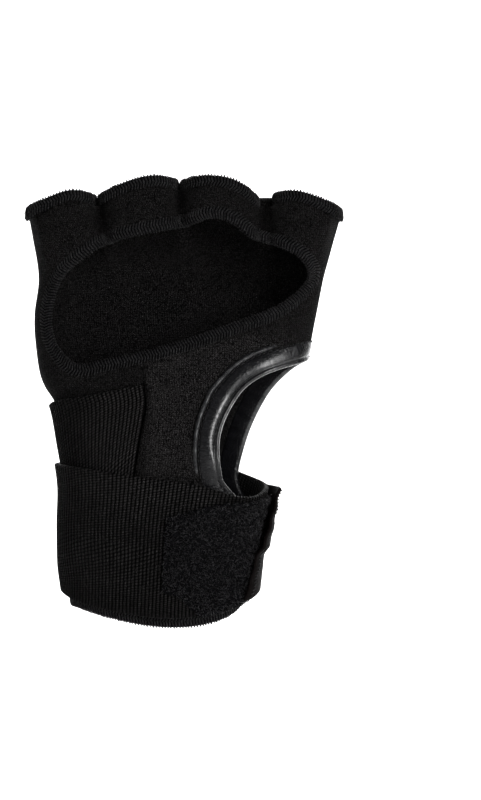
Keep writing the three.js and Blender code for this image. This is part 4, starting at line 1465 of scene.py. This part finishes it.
def make_seam_fold():
    """The cloth's folded edge at the palm seam, where the strap's first end is sewn in."""
    z = lerp(43.5, 83.6, np.linspace(0, 1, 60))[:, None]
    low, high = along(STRAP, "bottom", STRAP_START), along(STRAP, "top", STRAP_START)
    share = np.clip((z - low) / (high - low), 0, 1)
    angle = STRAP_START + STRAP_SKEW * (1 - share) - 0.6 - FOLD_ACROSS / ACROSS
    fade = lerp(0.1, 1, ramp(z, 84.5, 74.5))
    lift = np.where(FOLD_HEIGHT > 0, FOLD_HEIGHT * fade, FOLD_HEIGHT)
    z = np.broadcast_to(z, angle.shape)
    inner = lifted(angle, z, np.minimum(lift - 0.25, -0.3))

    def both_sides(outer, inner):
        return np.concatenate([outer, inner[:, ::-1]], 1)

    rows = both_sides(lifted(angle, z, lift), inner)
    places = cloth_place(angle, z)
    flat = both_sides(places, places)
    fold = piece("palm_seam_fold", rows, tube_faces(*rows.shape[:2]), FINISHES["cloth"], flat)
    # Painted light and shade, as on the palm cloth.
    keep_numbers(fold.data, "rubbed", rubbed(both_sides(angle, angle), both_sides(z, z)))
    give(fold, "cloth")


def loose_thread(corners, radius):
    """A short loose end of thread as a thin tube through its points."""
    p = np.array(corners, float)
    at = np.linspace(0, len(p) - 1, 8 * len(p))
    line = np.stack([np.interp(at, np.arange(len(p)), p[:, k]) for k in range(3)], 1)
    for _ in range(6):
        line[1:-1] = (line[:-2] + 2 * line[1:-1] + line[2:]) / 4
    ahead = unit(np.gradient(line, axis=0))
    side = unit(np.cross(ahead, [0.3, 0.9, 0.2]))
    turn = turns(5)
    section = radius * np.cos(turn), radius * np.sin(turn)
    rows = swept(line, side, np.cross(ahead, side), *section)
    return piece("end", rows, tube_faces(len(rows), 5), FINISHES["thread"])


LOOSE_ENDS = [
    # at the frayed corner of the little loop
    [(-43.6, -1, 134.6), (-44.6, -2, 134.2), (-45.3, -2, 133.6)],
    [(-43.6, 0, 133.4), (-44.8, -1, 132.6), (-45.0, -1, 131.6)],
    [(-42.8, -2, 132.8), (-43.6, -3, 131.4), (-44.3, -3, 130.6)],
    [(-43.8, -3, 135.4), (-44.7, -4, 135.8), (-45.4, -4, 135.4)],
    [(-42.4, -1, 131.8), (-42.9, -2, 130.6), (-42.6, -2, 129.6)],
    # between the little loop and the ring loop
    [(-21.4, -9, 138.6), (-21.1, -10, 139.4), (-20.6, -10, 139.9)],
    [(-20.2, -9, 138.8), (-19.6, -10, 139.5), (-19.4, -10, 140.2)],
    # at the strap's upper corner by the tab
    [(40.6, -3, 40.0), (41.4, -3, 41.5), (42.2, -3, 41.5), (42.9, -3, 40.9), (43.6, -3, 40.2)],
]


def make_stage():
    """A pale floor that curves up into a pale wall."""
    turn = np.linspace(0, math.pi / 2, 24)
    curve = [(-3.0, -0.2)] + [(1.2 + 0.8 * math.sin(t), 0.6 - 0.8 * math.cos(t)) for t in turn]
    curve.append((2.0, 3.5))
    points = [(x, y, z) for y, z in curve for x in (-4.0, 4.0)]
    faces = [(2 * i, 2 * i + 1, 2 * i + 3, 2 * i + 2) for i in range(len(curve) - 1)]
    mesh = bpy.data.meshes.new("floor")
    mesh.from_pydata(points, [], faces)
    mesh.shade_smooth()
    paint = bpy.data.materials.new("Pale floor")
    paint.use_nodes = True
    add = partial(node, paint.node_tree)
    place = add("ShaderNodeTexCoord", output="Object")
    spots = add("ShaderNodeTexNoise", {"Vector": place, "Scale": 3.0})
    tone = mixed(add, spots, (0.9, 0.9, 0.9, 1), (0.93, 0.93, 0.93, 1))
    matt = {"Base Color": tone, "Roughness": 0.9, "Specular IOR Level": 0.1}
    connect(paint.node_tree.nodes["Principled BSDF"], matt)
    mesh.materials.append(paint)
    placed("floor", mesh)


GLOVE_MIDDLE = (0.0, 0.0, 0.07)
LIGHTS = [
    # name, place, what it shines at, width and height, power
    ("front upper left", (-1.05, -1.2, 0.45), GLOVE_MIDDLE, (1.3, 1.0), 2.4),
    ("front right", (0.84, -1.2, 0.4), GLOVE_MIDDLE, (0.42, 0.9), 17.5),
    ("over the wall", (0.0, 0.9, 1.7), (0.0, 2.0, 0.2), (2.6, 0.8), 110),
]
CAMERA_RIGHT, CAMERA_UP, CAMERA_AWAY = 0.02839, 0.0705, 1.1
PICTURE_TALL, SENSOR_TALL = 0.272, 36.0


def soft_light(name, place, target, size, power):
    light = bpy.data.lights.new(name, "AREA")
    light.shape = "RECTANGLE"
    light.size, light.size_y = size
    light.energy = power
    made = placed(name, light)
    made.location = place
    aim = Vector(target) - Vector(place)
    made.rotation_euler = aim.to_track_quat("-Z", "Y").to_euler()


def make_studio():
    """Soft light, and a long lens straight in front of the palm."""
    scene = bpy.context.scene
    scene.world = bpy.data.worlds.new("studio")
    scene.world.use_nodes = True
    sky = {"Color": (1, 1, 1, 1), "Strength": 0.1}
    connect(scene.world.node_tree.nodes["Background"], sky)
    for light in LIGHTS:
        soft_light(*light)
    scene.view_settings.view_transform = "Standard"
    scene.view_settings.look = "None"
    lens = bpy.data.cameras.new("camera")
    scene.camera = placed("camera", lens)
    lens.sensor_width = SENSOR_TALL
    lens.lens = SENSOR_TALL * CAMERA_AWAY / PICTURE_TALL
    lens.clip_start, lens.clip_end = 0.05, 30.0
    scene.camera.location = (CAMERA_RIGHT, -CAMERA_AWAY, CAMERA_UP)
    scene.camera.rotation_euler = (math.pi / 2, 0, 0)


make_studio()
make_stage()
GROUPS = {
    "knit": knit_group(),
    "chain": chain_group(),
    "grain": grain_group(),
    "worn": colour_and_painted_light_group(),
}
FINISHES = make_finishes()
TREES = {"stitches": stitches_tree(), "pile": pile_tree(), "ribs": ribs_tree()}
make_cloth()
make_hems()
for row in GUSSETS:
    make_gusset(*row)
make_thumb_trim()
make_cuff_hem()
make_strap()
make_patch()
make_tab()
make_side_seams()
make_seam_fold()
give(joined("loose_threads", [loose_thread(row, 0.13) for row in LOOSE_ENDS]), "thread")
